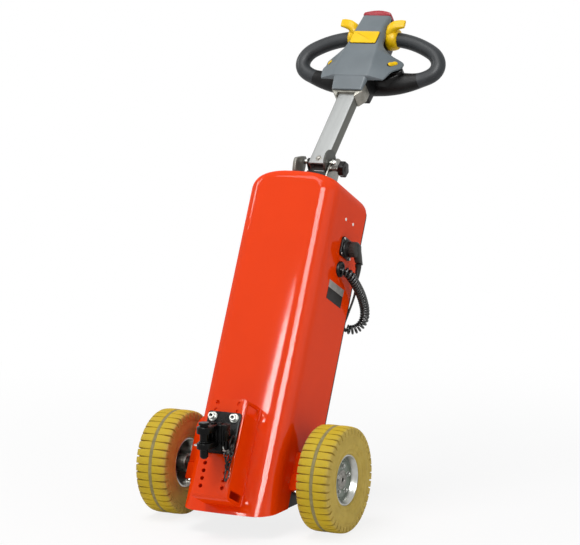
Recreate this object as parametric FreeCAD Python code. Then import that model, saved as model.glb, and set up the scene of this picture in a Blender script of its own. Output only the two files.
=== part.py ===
import FreeCAD, Part
import math
import os

# Electric tow tug, walk-behind: a leaning sheet-metal body on two driven wheels and one
# swivelling castor, a coupling in front and a hinged tiller with a control head behind.
# Millimetres. +Z is up, the coupling looks along -Y, +X is the side with the charging plug.

V = FreeCAD.Vector

# ---- driving dimensions ---------------------------------------------------------------
WHEEL_R = 130.0            # 260 x 85 block-pattern tyre
WHEEL_W = 85.0
TRACK = 440.0              # between the wheels' middle planes
AXLE_Y = -242.9            # the axle's place in the part's footprint
AXLE_Z = WHEEL_R
BODY_LEAN = 25.4           # the body leans back from vertical
TILLER_LEAN = 47.2         # the tiller tube leans further back at rest

# body frame: origin on the axle, x across, "out" away from the front panel, "up" along it
BODY_HALF = 121.5          # half the body's width
BODY_FRONT = 119.3         # front panel's outer face
BODY_BACK = -97.8          # back panel's outer face
BODY_TOP = 748.0
SHEET = 2.5                # shell's sheet
FRONT_CORNER_R = 47.0      # upright front corners
TOP_EDGE_R = 36.0          # edge around the top
BASE_Z = 56.0              # the bottom is level, at this height over the floor
NOTCH_OUT = 17.0           # the shell's sides stop here below NOTCH_UP
NOTCH_UP = -43.0
BACK_SHEET = 3.0

# tiller frame: origin on the hinge, x across, "out" towards the front, "up" along the tube
PIVOT_OUT = -18.0          # hinge in the body frame
PIVOT_UP = 814.0
TUBE_W = 50.0
TUBE_FRONT = 12.5          # its front and back faces, either side of the hinge
TUBE_BACK = -17.5
TUBE_WALL = 3.0
TUBE_START = -14.0
HEAD_START = 234.0         # lower edge of the control head
HEAD_END = 496.0           # far edge of its cover
BELLY_R = 72.0             # the belly button's curve across the head
LOOP_TILT = 21.5           # the handle loops lie in a plane tilted from the tube
LOOP_OUT = -37.0           # that plane's place ...
LOOP_UP = 362.0            # ... over this point of the tube
GRIP_R = 19.5
CORE_R = 9.0
PADDLE_START = 46.0        # inner and ...
PADDLE_END = 70.0          # ... outer face of the paddle's ring
PADDLE_R = 27.0
LOOP_REACH = 197.0         # loop's far side, middle of the grip
GRIP_ROOT = 90.0           # middle of the grip where it leaves the paddle, in the loops' plane

# hitch
HITCH_FACE = 198.5         # front face of the hitch plate, body frame
HITCH_HALF = 48.0
HITCH_LOW = -119.0
HITCH_HIGH = 127.0
HITCH_SHEET = 6.0
HITCH_SIDE_R = 3.5         # rounding of its upright front edges ...
HITCH_LOW_R = 9.0          # ... and of the lower one
HOLE_PITCH = 18.8
HOLE_ROWS = 12
HOLE_TOP = 115.0
HOLE_COLUMN = 29.0         # half the distance between the two columns of holes
HOLE_R = 5.25
COUPLING_AHEAD = 252.0     # upright coupling pin, ahead of the axle
COUPLING_PIN_R = 10.0
LUG_R = 17.5
UPPER_LUG = (267.0, 284.0)
LOWER_LUG = (230.0, 245.0)

# axle, brackets
AXLE_R = 17.5
SHAFT_R = 10.0
RUNNING = 0.05             # radial running clearance
BRACKET_REACH = 45.0       # brackets stand out this far from the body's side

# castor
CASTOR_BEHIND = 245.0      # swivel axis behind the axle
CASTOR_R = 50.0
CASTOR_TRAIL = 32.0
ARM_LOW = 128.0            # castor arm's underside
FORK_TOP = ARM_LOW - 13.0

# base tray and axle brackets
TRAY_TOP = 68.0
TRAY_SHEET = 3.0
BRACKET_SPLIT = -3.0       # the upper brackets end here
LEFT_HIGH = 122.0          # top of the left upper bracket ...
RIGHT_HIGH = 49.0          # ... and of the right one, which is shorter
TUBE_IN = 105.0            # axle tubes reach from here ...
TUBE_OUT = 179.0           # ... to here on each side

# coupling
COUPLING_FACE = HITCH_FACE + 8.0
WEB_AHEAD = 216.0          # front of the casting behind the jaw
BOLT_R = 5.0
LATCH_X = (40.5, 45.5)
LINK_LENGTH = 16.0
LINK_WIDTH = 11.0
LINK_WIRE = 3.0
LINK_STEP = LINK_LENGTH - 2 * LINK_WIRE - 0.4

# tiller joint
TILLER_DOWN = 40.0         # the tiller's travel from rest, down behind ...
TILLER_UP = 22.0           # ... and up towards the body
SLOT_SPARE = 18.0          # the slot runs on past the clamp bolt's travel
KNOB_OUT = -16.0
KNOB_UP = 797.0
HINGE_R = 5.5
CLAMP_R = 4.0
DISC_R = 33.0
DISC_OUTER = 30.0          # the disc's outer face, across the tube
LEFT_CHEEK = (-32.0, -28.0)
RIGHT_CHEEK = (32.0, 36.0)

# charging plug and cord
PLUG_OUT = -12.0
PLUG_UP = 585.0
COIL_R = 11.3              # the turns' outer radius
LEAD_R = 3.0


def box(x0, x1, out0, out1, up0, up1):
    """Box in a frame whose Y points opposite to "out"."""
    return Part.makeBox(x1 - x0, out1 - out0, up1 - up0, V(x0, -out1, up0))


def bar_x(radius, x0, x1, out=0.0, up=0.0):
    """Round bar along X."""
    return Part.makeCylinder(radius, x1 - x0, V(x0, -out, up), V(1, 0, 0))


def bar_out(radius, out0, out1, x=0.0, up=0.0):
    """Round bar along the "out" direction."""
    return Part.makeCylinder(radius, out1 - out0, V(x, -out0, up), V(0, -1, 0))


def face_of(points):
    return Part.Face(Part.makePolygon(points + [points[0]]))


def prism_x(outline, x0, x1):
    """Extrude an (out, up) outline along X."""
    return face_of([V(x0, -out, up) for out, up in outline]).extrude(V(x1 - x0, 0, 0))


def prism_out(outline, out0, out1):
    """Extrude an (x, up) outline along the "out" direction."""
    return face_of([V(x, -out0, up) for x, up in outline]).extrude(V(0, out0 - out1, 0))


def revolve_x(outline, x_middle, side):
    """Turn an (offset outward, radius) outline about the wheel axle on one side."""
    points = [V(x_middle + side * offset, 0, radius) for offset, radius in outline]
    return face_of(points).revolve(V(0, 0, 0), V(1, 0, 0), 360)


def join(shapes):
    """Fuse solids into one and drop the seams between them."""
    return shapes[0].multiFuse(shapes[1:]).removeSplitter()


def mirror_x(shape):
    """Mirror image across the part's middle plane, closed up again as a solid."""
    mirrored = shape.mirror(V(0, 0, 0), V(1, 0, 0))
    mirrored.fix(0.001, 0.001, 0.01)
    return mirrored


ON_AXLE = FreeCAD.Placement(V(0, AXLE_Y, AXLE_Z), FreeCAD.Rotation(V(1, 0, 0), 0))
ON_BODY = FreeCAD.Placement(V(0, AXLE_Y, AXLE_Z), FreeCAD.Rotation(V(1, 0, 0), -BODY_LEAN))
HINGE = ON_BODY.multVec(V(0, -PIVOT_OUT, PIVOT_UP))
ON_TILLER = FreeCAD.Placement(HINGE, FreeCAD.Rotation(V(1, 0, 0), -TILLER_LEAN))

PARTS = {}


def add(node, shape, placement=None):
    """Keep a finished sub-part under its node name, moved into the part's own frame."""
    shape = shape.copy()
    if placement is not None:
        shape.transformShape(placement.toMatrix())
    PARTS[node] = shape


def level_block(z0, z1):
    """Wide block between two heights over the floor, seen from the body frame."""
    block = Part.makeBox(1000, 1400, z1 - z0, V(-500, -700 + AXLE_Y, z0))
    block.transformShape(ON_BODY.inverse().toMatrix())
    return block


# ---- body -----------------------------------------------------------------------------
def hood(inset):
    """Closed form of the hood, shrunk by inset on the front, sides and top."""
    half = BODY_HALF - inset
    front = BODY_FRONT - inset
    top = BODY_TOP - inset
    block = box(-half, half, BODY_BACK + BACK_SHEET, front, -220, top)
    upright = [e for e in block.Edges
               if abs(e.Vertexes[0].Y + front) < 0.01 and abs(e.Vertexes[1].Y + front) < 0.01
               and abs(e.Vertexes[0].X - e.Vertexes[1].X) < 0.01]
    block = block.makeFillet(FRONT_CORNER_R - inset, upright)
    rim = [e for e in block.Edges if all(abs(v.Z - top) < 0.01 for v in e.Vertexes)]
    return block.makeFillet(TOP_EDGE_R - inset, rim)


def make_shell():
    shell = hood(0).cut(hood(SHEET))
    shell = shell.cut(level_block(-300, BASE_Z))
    shell = shell.cut(box(-200, 200, BODY_BACK - 10, NOTCH_OUT, -300, NOTCH_UP))
    shell = shell.cut(bar_x(AXLE_R + 0.3, -200, 200))
    return shell


add("shell", make_shell(), ON_BODY)


def make_tray():
    half = BODY_HALF - SHEET - 0.5
    front = BODY_FRONT - SHEET - 0.5
    back = BODY_BACK + BACK_SHEET + 0.5

    def trough(inset):
        block = box(-half + inset, half - inset, back + inset, front - inset, -220, TRAY_TOP + inset)
        upright = [e for e in block.Edges
                   if all(abs(v.Y + front - inset) < 0.01 for v in e.Vertexes)
                   and abs(e.Vertexes[0].X - e.Vertexes[1].X) < 0.01]
        return block.makeFillet(FRONT_CORNER_R - SHEET - inset, upright)

    outer = trough(0).common(level_block(BASE_Z, 700))
    inner = trough(TRAY_SHEET).common(level_block(BASE_Z + TRAY_SHEET, 700))
    return outer.cut(inner).cut(bar_x(AXLE_R + 0.3, -200, 200))


def make_back_panel():
    half = BODY_HALF
    panel = box(-half, half, BODY_BACK, BODY_BACK + BACK_SHEET, -60, BODY_TOP - TOP_EDGE_R)
    return panel.common(level_block(BASE_Z, 1200))


def make_upper_bracket(high, corner_r):
    side = BODY_HALF
    reach = side + BRACKET_REACH
    plate = box(side, reach, 22, 30, BRACKET_SPLIT, high)
    corner = [e for e in plate.Edges
              if all(abs(v.X - reach) < 0.01 and abs(v.Z - high) < 0.01 for v in e.Vertexes)]
    plate = plate.makeFillet(corner_r, corner)
    clamp = box(side, reach - 6, -26, 22, BRACKET_SPLIT, 26)
    rib = prism_x([(22, 26), (22, high - 8), (-26, 26)], side, side + 6)
    return join([plate, clamp, rib]).cut(bar_x(AXLE_R + 0.2, side - 1, reach + 1))


def make_lower_bracket():
    side = BODY_HALF
    reach = side + BRACKET_REACH
    block = box(side, reach, -26, 34, -46, BRACKET_SPLIT - 1)
    return block.cut(bar_x(AXLE_R + 0.2, side - 1, reach + 1))


def make_axle_tube():
    outer = bar_x(AXLE_R, TUBE_IN, TUBE_OUT)
    return outer.cut(bar_x(SHAFT_R + RUNNING, TUBE_IN - 1, TUBE_OUT + 1))


def holes_along(rows, radius, out0, out1):
    return [bar_out(radius, out0, out1, side * HOLE_COLUMN, HOLE_TOP - row * HOLE_PITCH)
            for row in rows for side in (-1, 1)]


def make_hitch_bracket():
    block = box(-HITCH_HALF, HITCH_HALF, BODY_FRONT, HITCH_FACE, HITCH_LOW, HITCH_HIGH)
    front = [e for e in block.Edges if all(abs(v.Y + HITCH_FACE) < 0.01 for v in e.Vertexes)]
    lower = [e for e in front if all(abs(v.Z - HITCH_LOW) < 0.01 for v in e.Vertexes)]
    block = block.makeFillet(HITCH_LOW_R, lower)
    upright = [e for e in block.Edges if all(abs(v.Y + HITCH_FACE) < 0.01 for v in e.Vertexes)
               and abs(abs(e.Vertexes[0].X) - HITCH_HALF) < 0.01
               and abs(e.Vertexes[0].X - e.Vertexes[1].X) < 0.01]
    block = block.makeFillet(HITCH_SIDE_R, upright)
    inside = box(-HITCH_HALF + HITCH_SHEET, HITCH_HALF - HITCH_SHEET, BODY_FRONT - 5,
                 HITCH_FACE - HITCH_SHEET, HITCH_LOW + HITCH_SHEET, HITCH_HIGH + 5)
    block = block.cut(inside)
    for window in (box(-60, 60, 131, 184, 94, 120), box(-60, 60, 131, 188, -111, -92)):
        block = block.cut(window)
    for hole in holes_along(range(HOLE_ROWS), HOLE_R, HITCH_FACE - 20, HITCH_FACE + 5):
        block = block.cut(hole)
    return block


def coupling_bolt_places():
    first = HOLE_TOP - 2 * HOLE_PITCH
    last = HOLE_TOP - 6 * HOLE_PITCH
    return [(-HOLE_COLUMN, first), (HOLE_COLUMN, first), (HOLE_COLUMN, last)]


def on_body(shape):
    """Move a shape from the body frame into the part's frame."""
    shape = shape.copy()
    shape.transformShape(ON_BODY.toMatrix())
    return shape


def level_lug(z0, z1, half, front, back):
    """Level lug with a round nose; front and back are distances ahead of the axle."""
    nose = Part.makeCylinder(half, z1 - z0, V(0, AXLE_Y - front, z0))
    bar = Part.makeBox(2 * half, front - back, z1 - z0, V(-half, AXLE_Y - front, z0))
    return nose.fuse(bar)


def make_coupling():
    plate = box(-44, 44, HITCH_FACE, COUPLING_FACE, -11.5, 91.5)
    plate = on_body(plate)
    upper = level_lug(UPPER_LUG[0], UPPER_LUG[1], LUG_R, COUPLING_AHEAD, 130)
    lower = level_lug(LOWER_LUG[0], LOWER_LUG[1], LUG_R, COUPLING_AHEAD, 130)
    web = Part.makeBox(44, WEB_AHEAD - 130, UPPER_LUG[1] - LOWER_LUG[0] + 12,
                       V(-18, AXLE_Y - WEB_AHEAD, LOWER_LUG[0] - 12))
    behind = on_body(box(-100, 100, -100, HITCH_FACE + 2, -300, 300))
    ribs = [Part.makeBox(5, 9, 26, V(x, AXLE_Y - WEB_AHEAD - 8, LOWER_LUG[1] - 1)) for x in (-16, 0, 16)]
    casting = join([upper, lower, web] + ribs).cut(behind)
    casting = join([plate, casting])
    pin = Part.makeCylinder(COUPLING_PIN_R + 0.2, 200, V(0, AXLE_Y - COUPLING_AHEAD, 150))
    casting = casting.cut(pin)
    for x, up in coupling_bolt_places():
        casting = casting.cut(on_body(bar_out(BOLT_R + 0.3, HITCH_FACE - 2, HITCH_FACE + 60, x, up)))
        casting = casting.cut(on_body(bar_out(12.5, COUPLING_FACE, COUPLING_FACE + 60, x, up)))
    return casting


def make_coupling_pin():
    at = V(0, AXLE_Y - COUPLING_AHEAD, 0)
    shank = Part.makeCylinder(COUPLING_PIN_R, 80, at + V(0, 0, 212))
    tip = Part.makeCone(COUPLING_PIN_R - 4, COUPLING_PIN_R, 5, at + V(0, 0, 207))
    head = Part.makeCylinder(13, 6, at + V(0, 0, UPPER_LUG[1] + 0.2))
    return join([tip, shank, head])


def make_coupling_bolts():
    bolts = []
    for x, up in coupling_bolt_places():
        shank = bar_out(BOLT_R, HITCH_FACE - 18, COUPLING_FACE + 1, x, up)
        washer = bar_out(11, COUPLING_FACE, COUPLING_FACE + 2.5, x, up)
        cap = bar_out(8.5, COUPLING_FACE + 2, COUPLING_FACE + 13, x, up)
        socket = bar_out(4.5, COUPLING_FACE + 7, COUPLING_FACE + 14, x, up)
        nut = bar_out(9, HITCH_FACE - 16, HITCH_FACE - HITCH_SHEET, x, up)
        bolts.append(join([shank, washer, cap, nut]).cut(socket))
    return Part.makeCompound(bolts)


def chain_link(length, width, wire):
    """Flat link with round ends, standing along Z, its plane across Y."""
    def stadium(half_length, half_width):
        run = half_length - half_width
        ends = [Part.makeCylinder(half_width, wire, V(0, -wire / 2, z), V(0, 1, 0)) for z in (-run, run)]
        middle = Part.makeBox(2 * half_width, wire, 2 * run, V(-half_width, -wire / 2, -run))
        return join(ends + [middle])
    return stadium(length / 2, width / 2).cut(stadium(length / 2 - wire, width / 2 - wire))


def make_latch():
    """Side lever of the coupling, beside its lower right bolt."""
    near = COUPLING_FACE + 0.3
    outline = [(near, 30), (near + 9, 34), (near + 22, 25), (near + 25, 4), (near + 16, -8), (near, -4)]
    return prism_x(outline, LATCH_X[0], LATCH_X[1])


def hanging_links(x, out, up, count):
    """Links of a chain that hangs from a point in the body frame, every second one turned."""
    start = ON_BODY.multVec(V(x, -out, up))
    links = []
    for step in range(count):
        link = chain_link(LINK_LENGTH, LINK_WIDTH, LINK_WIRE)
        link.rotate(V(0, 0, 0), V(0, 0, 1), 90 * (step % 2))
        link.translate(start + V(0, 0, -step * LINK_STEP))
        links.append(link)
    return links


def make_chain():
    """Safety chain: two strands below the coupling's lower right corner, with a snap hook."""
    strands = hanging_links(26, 228, -20, 4) + hanging_links(43, 227, -18, 4)
    hook = chain_link(2 * LINK_LENGTH, LINK_WIDTH + 2, LINK_WIRE)
    hook.translate(V(35, -HITCH_FACE - 5, -68))
    return Part.makeCompound(strands + [on_body(hook)])


add("back_panel", make_back_panel(), ON_BODY)
add("base_tray", make_tray(), ON_BODY)
add("battery_pack", box(-105, 105, -86, 104, 76, 386), ON_BODY)
add("drive_unit", Part.makeBox(209.6, 140, 92, V(-104.8, AXLE_Y - 82, 64)))
for side_name, mirrored, high, corner_r in (("right", False, RIGHT_HIGH, 12.0), ("left", True, LEFT_HIGH, 36.0)):
    for node, shape in (("axle_tube", make_axle_tube()),
                        ("axle_bracket_upper", make_upper_bracket(high, corner_r)),
                        ("axle_bracket_lower", make_lower_bracket())):
        shape = mirror_x(shape) if mirrored else shape
        add("%s_%s" % (node, side_name), shape, ON_BODY)
add("hitch_bracket", make_hitch_bracket(), ON_BODY)
add("coupling_body", make_coupling())
add("coupling_pin", make_coupling_pin())
add("coupling_bolts", make_coupling_bolts(), ON_BODY)
add("coupling_latch", make_latch(), ON_BODY)
add("coupling_chain", make_chain())


# ---- wheels ---------------------------------------------------------------------------
def make_tyre(middle, side):
    half = WHEEL_W / 2
    outline = [(-30, 60), (-30.6, 62), (-35, 63), (-38, 68),
               (-half, 92), (-half, 112), (-42, 123), (-39.5, 127.5), (-32, 129.3),
               (-16, WHEEL_R), (16, WHEEL_R), (32, 129.3), (39.5, 127.5), (42, 123), (half, 112), (half, 92),
               (38, 68), (35, 63), (30.6, 62), (30, 60)]
    return revolve_x(outline, middle, side)


def make_rim(middle, side):
    outline = [(-34, 61.5), (-31, 61.5), (-30, 59.8), (30, 59.8), (31, 61.5), (34, 61.5),
               (34, 57.5), (28, 55), (20, 52), (20, 24.2), (15, 24.2), (15, 52), (-27, 55), (-34, 57.5)]
    return revolve_x(outline, middle, side)


def make_hub(middle, side):
    outline = [(-110, 0), (-110, SHAFT_R), (-39, SHAFT_R), (-39, 21), (-30, 24), (21, 24),
               (21, 18), (23, 16), (23, 5), (12, 5), (12, 0)]
    return revolve_x(outline, middle, side)


for side_name, side in (("right", 1), ("left", -1)):
    middle = side * TRACK / 2
    add("tyre_%s" % side_name, make_tyre(middle, side), ON_AXLE)
    add("rim_%s" % side_name, make_rim(middle, side), ON_AXLE)
    add("hub_%s" % side_name, make_hub(middle, side), ON_AXLE)


# ---- castor ---------------------------------------------------------------------------
def make_castor_arm():
    end = CASTOR_BEHIND + 52
    arm = Part.makeBox(100, end - 60, 40, V(-50, AXLE_Y + 60, ARM_LOW))
    hollow = Part.makeBox(90, end - 60, 30, V(-45, AXLE_Y + 55, ARM_LOW + 5))
    inside_body = on_body(box(-200, 200, BODY_BACK, 400, -300, 900))
    return arm.cut(hollow).cut(inside_body)


def castor_at(z):
    return V(0, AXLE_Y + CASTOR_BEHIND, z)


def make_castor_plate():
    plate = Part.makeBox(96, 84, 5, castor_at(ARM_LOW - 5) + V(-48, -42, 0))
    race = Part.makeCone(24, 30, 8, castor_at(ARM_LOW - 12.5))
    return join([plate, race])


def make_castor_fork():
    """Fork below the swivel race; its legs lean back to the wheel's axle."""
    shapes = [Part.makeCylinder(30, 5, castor_at(FORK_TOP - 5.5)),
              Part.makeBox(52, 50, 4, castor_at(FORK_TOP - 5.5) + V(-26, -24, 0))]
    for x in (-26, 22):
        leg = [(-24, FORK_TOP - 1.5), (26, FORK_TOP - 1.5),
               (CASTOR_TRAIL + 13, CASTOR_R), (CASTOR_TRAIL - 13, CASTOR_R)]
        points = [castor_at(z) + V(x, y, 0) for y, z in leg]
        shapes.append(face_of(points).extrude(V(4, 0, 0)))
        shapes.append(Part.makeCylinder(13, 4, castor_axle_at() + V(x, 0, 0), V(1, 0, 0)))
    return join(shapes)


def castor_axle_at():
    return V(0, AXLE_Y + CASTOR_BEHIND + CASTOR_TRAIL, CASTOR_R)


def make_castor_wheel():
    at = castor_axle_at()
    outline = [(-16, 8.1), (-16, 47), (-13, CASTOR_R), (13, CASTOR_R), (16, 47), (16, 8.1)]
    wheel = face_of([V(x, 0, radius) for x, radius in outline]).revolve(V(0, 0, 0), V(1, 0, 0), 360)
    wheel.translate(at)
    return wheel


def make_castor_bolt():
    at = castor_axle_at()
    shank = Part.makeCylinder(8, 60, at + V(-30, 0, 0), V(1, 0, 0))
    heads = [Part.makeCylinder(11, 6, at + V(x, 0, 0), V(1, 0, 0)) for x in (-32, 26)]
    spacers = [Part.makeCylinder(11, 5.3, at + V(x, 0, 0), V(1, 0, 0)) for x in (-22, 16.7)]
    return join([shank] + heads + spacers)


castor_bolt = make_castor_bolt()
add("castor_arm", make_castor_arm())
add("castor_plate", make_castor_plate())
add("castor_fork", make_castor_fork().cut(castor_bolt))
add("castor_axle", castor_bolt)
add("castor_wheel", make_castor_wheel())


# ---- tiller joint -----------------------------------------------------------------------
def cheek(outline, across):
    """Upright plate of the hinge bracket: an (out, up) outline in the body frame."""
    return prism_x(outline, across[0], across[1])


def make_tiller_bracket():
    foot = BODY_TOP + 4
    base = box(-46, 46, -64, 14, BODY_TOP, BODY_TOP + 5)
    left = cheek([(-31, foot), (-31, 788), (-8, 806), (-8, 817), (-13, 823), (-26, 825), (-46, 812),
                  (-62, foot)], LEFT_CHEEK)
    right = cheek([(4, foot), (0, 780), (-6, 804), (-20, 821), (-45, 837), (-66, 836), (-71, 828),
                   (-60, foot)], RIGHT_CHEEK)
    bracket = join([base, left, right])
    for hole in (bar_x(HINGE_R + 0.05, -60, 60, PIVOT_OUT, PIVOT_UP),
                 bar_x(CLAMP_R + 0.1, 0, 60, KNOB_OUT, KNOB_UP)):
        bracket = bracket.cut(hole)
    return bracket


def make_hinge_pin():
    pin = bar_x(HINGE_R, -44, 46, PIVOT_OUT, PIVOT_UP)
    nut = bar_x(8.5, RIGHT_CHEEK[1] + 0.1, RIGHT_CHEEK[1] + 7, PIVOT_OUT, PIVOT_UP)
    return join([pin, nut])


def make_clamp_knob():
    """Star grip with its bolt, which ends in the tiller disc's slot."""
    bolt = bar_x(CLAMP_R, 25.5, 66, KNOB_OUT, KNOB_UP)
    collar = bar_x(8, RIGHT_CHEEK[1] + 0.1, 62, KNOB_OUT, KNOB_UP)
    grip = bar_x(17, 62, 79, KNOB_OUT, KNOB_UP)
    lobes = []
    for index in range(6):
        angle = math.radians(60 * index)
        lobes.append(bar_x(5, 63, 78, KNOB_OUT + 16 * math.cos(angle), KNOB_UP + 16 * math.sin(angle)))
    return join([bolt, collar, grip] + lobes)


def make_clamp_lever():
    """Broad lever on the hinge pin's left end."""
    outline = [(24, 798), (22, 810), (-8, 825), (-25, 831), (-32, 826), (-36, 802), (-29, 776), (18, 773)]
    return prism_x(outline, -56, -44.2)


add("tiller_bracket", make_tiller_bracket(), ON_BODY)
add("hinge_pin", make_hinge_pin(), ON_BODY)
add("clamp_knob", make_clamp_knob(), ON_BODY)
add("clamp_lever", make_clamp_lever(), ON_BODY)


# ---- tiller and control head --------------------------------------------------------------
def make_tiller_tube():
    half = TUBE_W / 2
    outer = box(-half, half, TUBE_BACK, TUBE_FRONT, TUBE_START, HEAD_START + 28)
    inner = box(-half + TUBE_WALL, half - TUBE_WALL, TUBE_BACK + TUBE_WALL, TUBE_FRONT - TUBE_WALL,
                TUBE_START - 1, HEAD_START + 29)
    return outer.cut(inner).cut(bar_x(HINGE_R + 0.05, -60, 60))


def make_tiller_disc():
    """Round ear on the tube's right side, with the arc slot for the clamp bolt."""
    disc = bar_x(DISC_R, TUBE_W / 2, DISC_OUTER)
    slot_r = math.hypot(KNOB_OUT - PIVOT_OUT, KNOB_UP - PIVOT_UP)
    ring = bar_x(slot_r + CLAMP_R + 0.6, 20, 40).cut(bar_x(slot_r - CLAMP_R - 0.6, 20, 40))
    at_rest = math.degrees(math.atan2(KNOB_UP - PIVOT_UP, KNOB_OUT - PIVOT_OUT)) - (TILLER_LEAN - BODY_LEAN)
    start = at_rest - TILLER_DOWN - SLOT_SPARE
    end = at_rest + TILLER_UP + SLOT_SPARE
    fan = []
    for index in range(13):
        angle = math.radians(start + (end - start) * index / 12)
        fan.append((60 * math.cos(angle), 60 * math.sin(angle)))
    sector = prism_x([(0, 0)] + fan, 20, 40)
    disc = disc.cut(ring.common(sector))
    return disc.cut(bar_x(HINGE_R + 0.05, -60, 60))


def make_shoe():
    outline = [(-27, 216), (27, 216), (43, 234), (43, 262), (-43, 262), (-43, 234)]
    yoke = prism_out(outline, -22, 20)
    tunnel = box(-TUBE_W / 2, TUBE_W / 2, TUBE_BACK, TUBE_FRONT, 200, 263)
    mouth = box(-TUBE_W / 2, TUBE_W / 2, TUBE_BACK, 30, 200, 229)
    return yoke.cut(tunnel).cut(mouth)


COVER_SECTIONS = [
    # up, top half-width, top, edge half-width, edge, underside
    (234, 39, 26.5, 43, 24, 21),
    (270, 42, 36, 47.5, 31, 21),
    (273, 46, 37.5, 77, 26, 18),
    (277, 48, 38.5, 86, 24, 14),
    (309, 49, 41, 97, 18, 6),
    (330, 48, 42, 103, 1, -8),
    (345, 47, 42, 106, -12, -20),
    (352, 46, 42.3, 96, -8, -18),
    (360, 44, 42.5, 74, 8, 2),
    (379, 42, 43, 59, 22, 12),
    (401, 39, 43.5, 47, 28, 18),
    (426, 38, 44.5, 45, 30, 20),
    (448, 37, 43, 43.5, 31, 20),
    (496, 36, 34.5, 40.5, 31, 22),
]


def make_cover():
    rings = []
    for up, top_half, top, edge_half, edge, under in COVER_SECTIONS:
        points = [V(-edge_half, -under, up), V(-edge_half, -edge, up), V(-top_half, -top, up),
                  V(top_half, -top, up), V(edge_half, -edge, up), V(edge_half, -under, up)]
        rings.append(Part.makePolygon(points + [points[0]]))
    return Part.makeLoft(rings, True, True)


def make_housing(cover, shoe, tube):
    spine = prism_x([(-42, 245), (20.9, 245), (20, 496), (-26, 496), (-44, 450), (-48, 330), (-44, 262)],
                    -42.5, 42.5)
    wing = prism_out([(-98, 300), (98, 300), (112, 330), (108, 350), (-108, 350), (-112, 330)], -62, -2)
    housing = join([spine, wing])
    for other in (cover, shoe, tube):
        housing = housing.cut(other)
    return housing


def path_with_arcs(corners, radii):
    """Straight runs between the corners, each inner corner rounded with its own radius."""
    edges = []
    start = corners[0]
    for index, radius in enumerate(radii, 1):
        before = (corners[index - 1] - corners[index]).normalize()
        after = (corners[index + 1] - corners[index]).normalize()
        half_turn = (math.pi - before.getAngle(after)) / 2
        setback = radius * math.tan(half_turn)
        arc_in = corners[index] + before * setback
        arc_out = corners[index] + after * setback
        bisector = (before + after).normalize()
        centre = corners[index] + bisector * (radius / math.cos(half_turn))
        middle = centre - bisector * radius
        edges.append(Part.LineSegment(start, arc_in).toShape())
        edges.append(Part.Arc(arc_in, middle, arc_out).toShape())
        start = arc_out
    edges.append(Part.LineSegment(start, corners[-1]).toShape())
    return Part.Wire(edges)


def tilt_loop(shape):
    """Move a shape from the loops' plane to its place on the tiller."""
    shape.transformShape(FreeCAD.Placement(V(0, -LOOP_OUT, LOOP_UP),
                                           FreeCAD.Rotation(V(1, 0, 0), LOOP_TILT)).toMatrix())
    return shape


def handle_core(side, radius):
    """Core that carries a grip's root through the paddle's ring, in the loops' plane."""
    return Part.makeCylinder(radius, 36, V(side * 43, 0, GRIP_ROOT + 3.2), V(side, 0, -0.19))


def make_handle():
    """Right handle loop, built in the loops' plane and then tilted into place."""
    root = V(60, 0, GRIP_ROOT)
    low = 44.0
    path = path_with_arcs([root, V(148, 0, 73.5), V(LOOP_REACH, 0, 41), V(LOOP_REACH, 0, -17), V(low, 0, -40)],
                          (90, 32, 30))
    ring = Part.Wire(Part.makeCircle(GRIP_R, root, path.Edges[0].tangentAt(0)))
    beside = Part.makeBox(40, 80, 80, V(PADDLE_END + 0.3 - 40, -40, 60))
    grip = path.makePipeShell([ring], True, True).cut(beside)
    rings = []
    for x, wide, deep in ((low, 30, 27), (100, 29.5, 26.5), (135, 27, 24.5), (172, 19, 19)):
        z = -40 + (x - low) * 23 / (LOOP_REACH - low)
        ellipse = Part.Ellipse(V(0, 0, 0), wide, deep).toShape()
        ellipse.rotate(V(0, 0, 0), V(0, 1, 0), 90)
        ellipse.translate(V(x, 0, z))
        rings.append(Part.Wire(ellipse))
    arm = Part.makeLoft(rings, True, False)
    return tilt_loop(join([grip, arm, handle_core(1, CORE_R)]))


def make_paddle(side):
    """Thumb paddle: a ring round the grip's root and a tab that curls outwards."""
    near, far = sorted((side * PADDLE_START, side * PADDLE_END))
    hub = bar_x(PADDLE_R, near, far, -4, 446)
    rings = []
    for x0, x1, out, up, deep in ((47, 69, 14, 458, 16), (50, 70, 27, 468, 10),
                                  (60, 80, 34, 473, 8), (74, 91, 35, 474, 6)):
        near, far = sorted((side * x0, side * x1))
        points = [V(near, -out + deep / 2, up - 14), V(far, -out + deep / 2, up - 14),
                  V(far, -out - deep / 2, up + 14), V(near, -out - deep / 2, up + 14)]
        rings.append(Part.makePolygon(points + [points[0]]))
    tab = Part.makeLoft(rings, True, True)
    return hub.fuse(tab).cut(tilt_loop(handle_core(side, CORE_R + 0.1)))


cover = make_cover()
shoe = make_shoe()
tube = make_tiller_tube()
housing = make_housing(cover, shoe, tube)
handle = make_handle().cut(housing).cut(cover)
add("tiller_tube", tube, ON_TILLER)
add("tiller_disc", make_tiller_disc(), ON_TILLER)
add("tiller_shoe", shoe, ON_TILLER)
add("head_cover", cover, ON_TILLER)
add("head_housing", housing, ON_TILLER)
add("handle_right", handle, ON_TILLER)
add("handle_left", mirror_x(handle), ON_TILLER)
add("paddle_right", make_paddle(1).cut(housing).cut(cover), ON_TILLER)
add("paddle_left", make_paddle(-1).cut(housing).cut(cover), ON_TILLER)
horn = prism_out([(-37.5, 383), (37.5, 383), (37.5, 426), (-37.5, 426)], 42, 47)
add("horn_button", horn.cut(cover), ON_TILLER)
belly = prism_x([(36, 496), (40, 503), (39.5, 509), (33, 514), (12, 518), (-10, 517), (-22, 511), (-27, 496)],
                -40, 40)
belly = belly.common(bar_out(BELLY_R, -40, 50, 0, HEAD_END + 22 - BELLY_R))
add("belly_button", belly, ON_TILLER)


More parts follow.
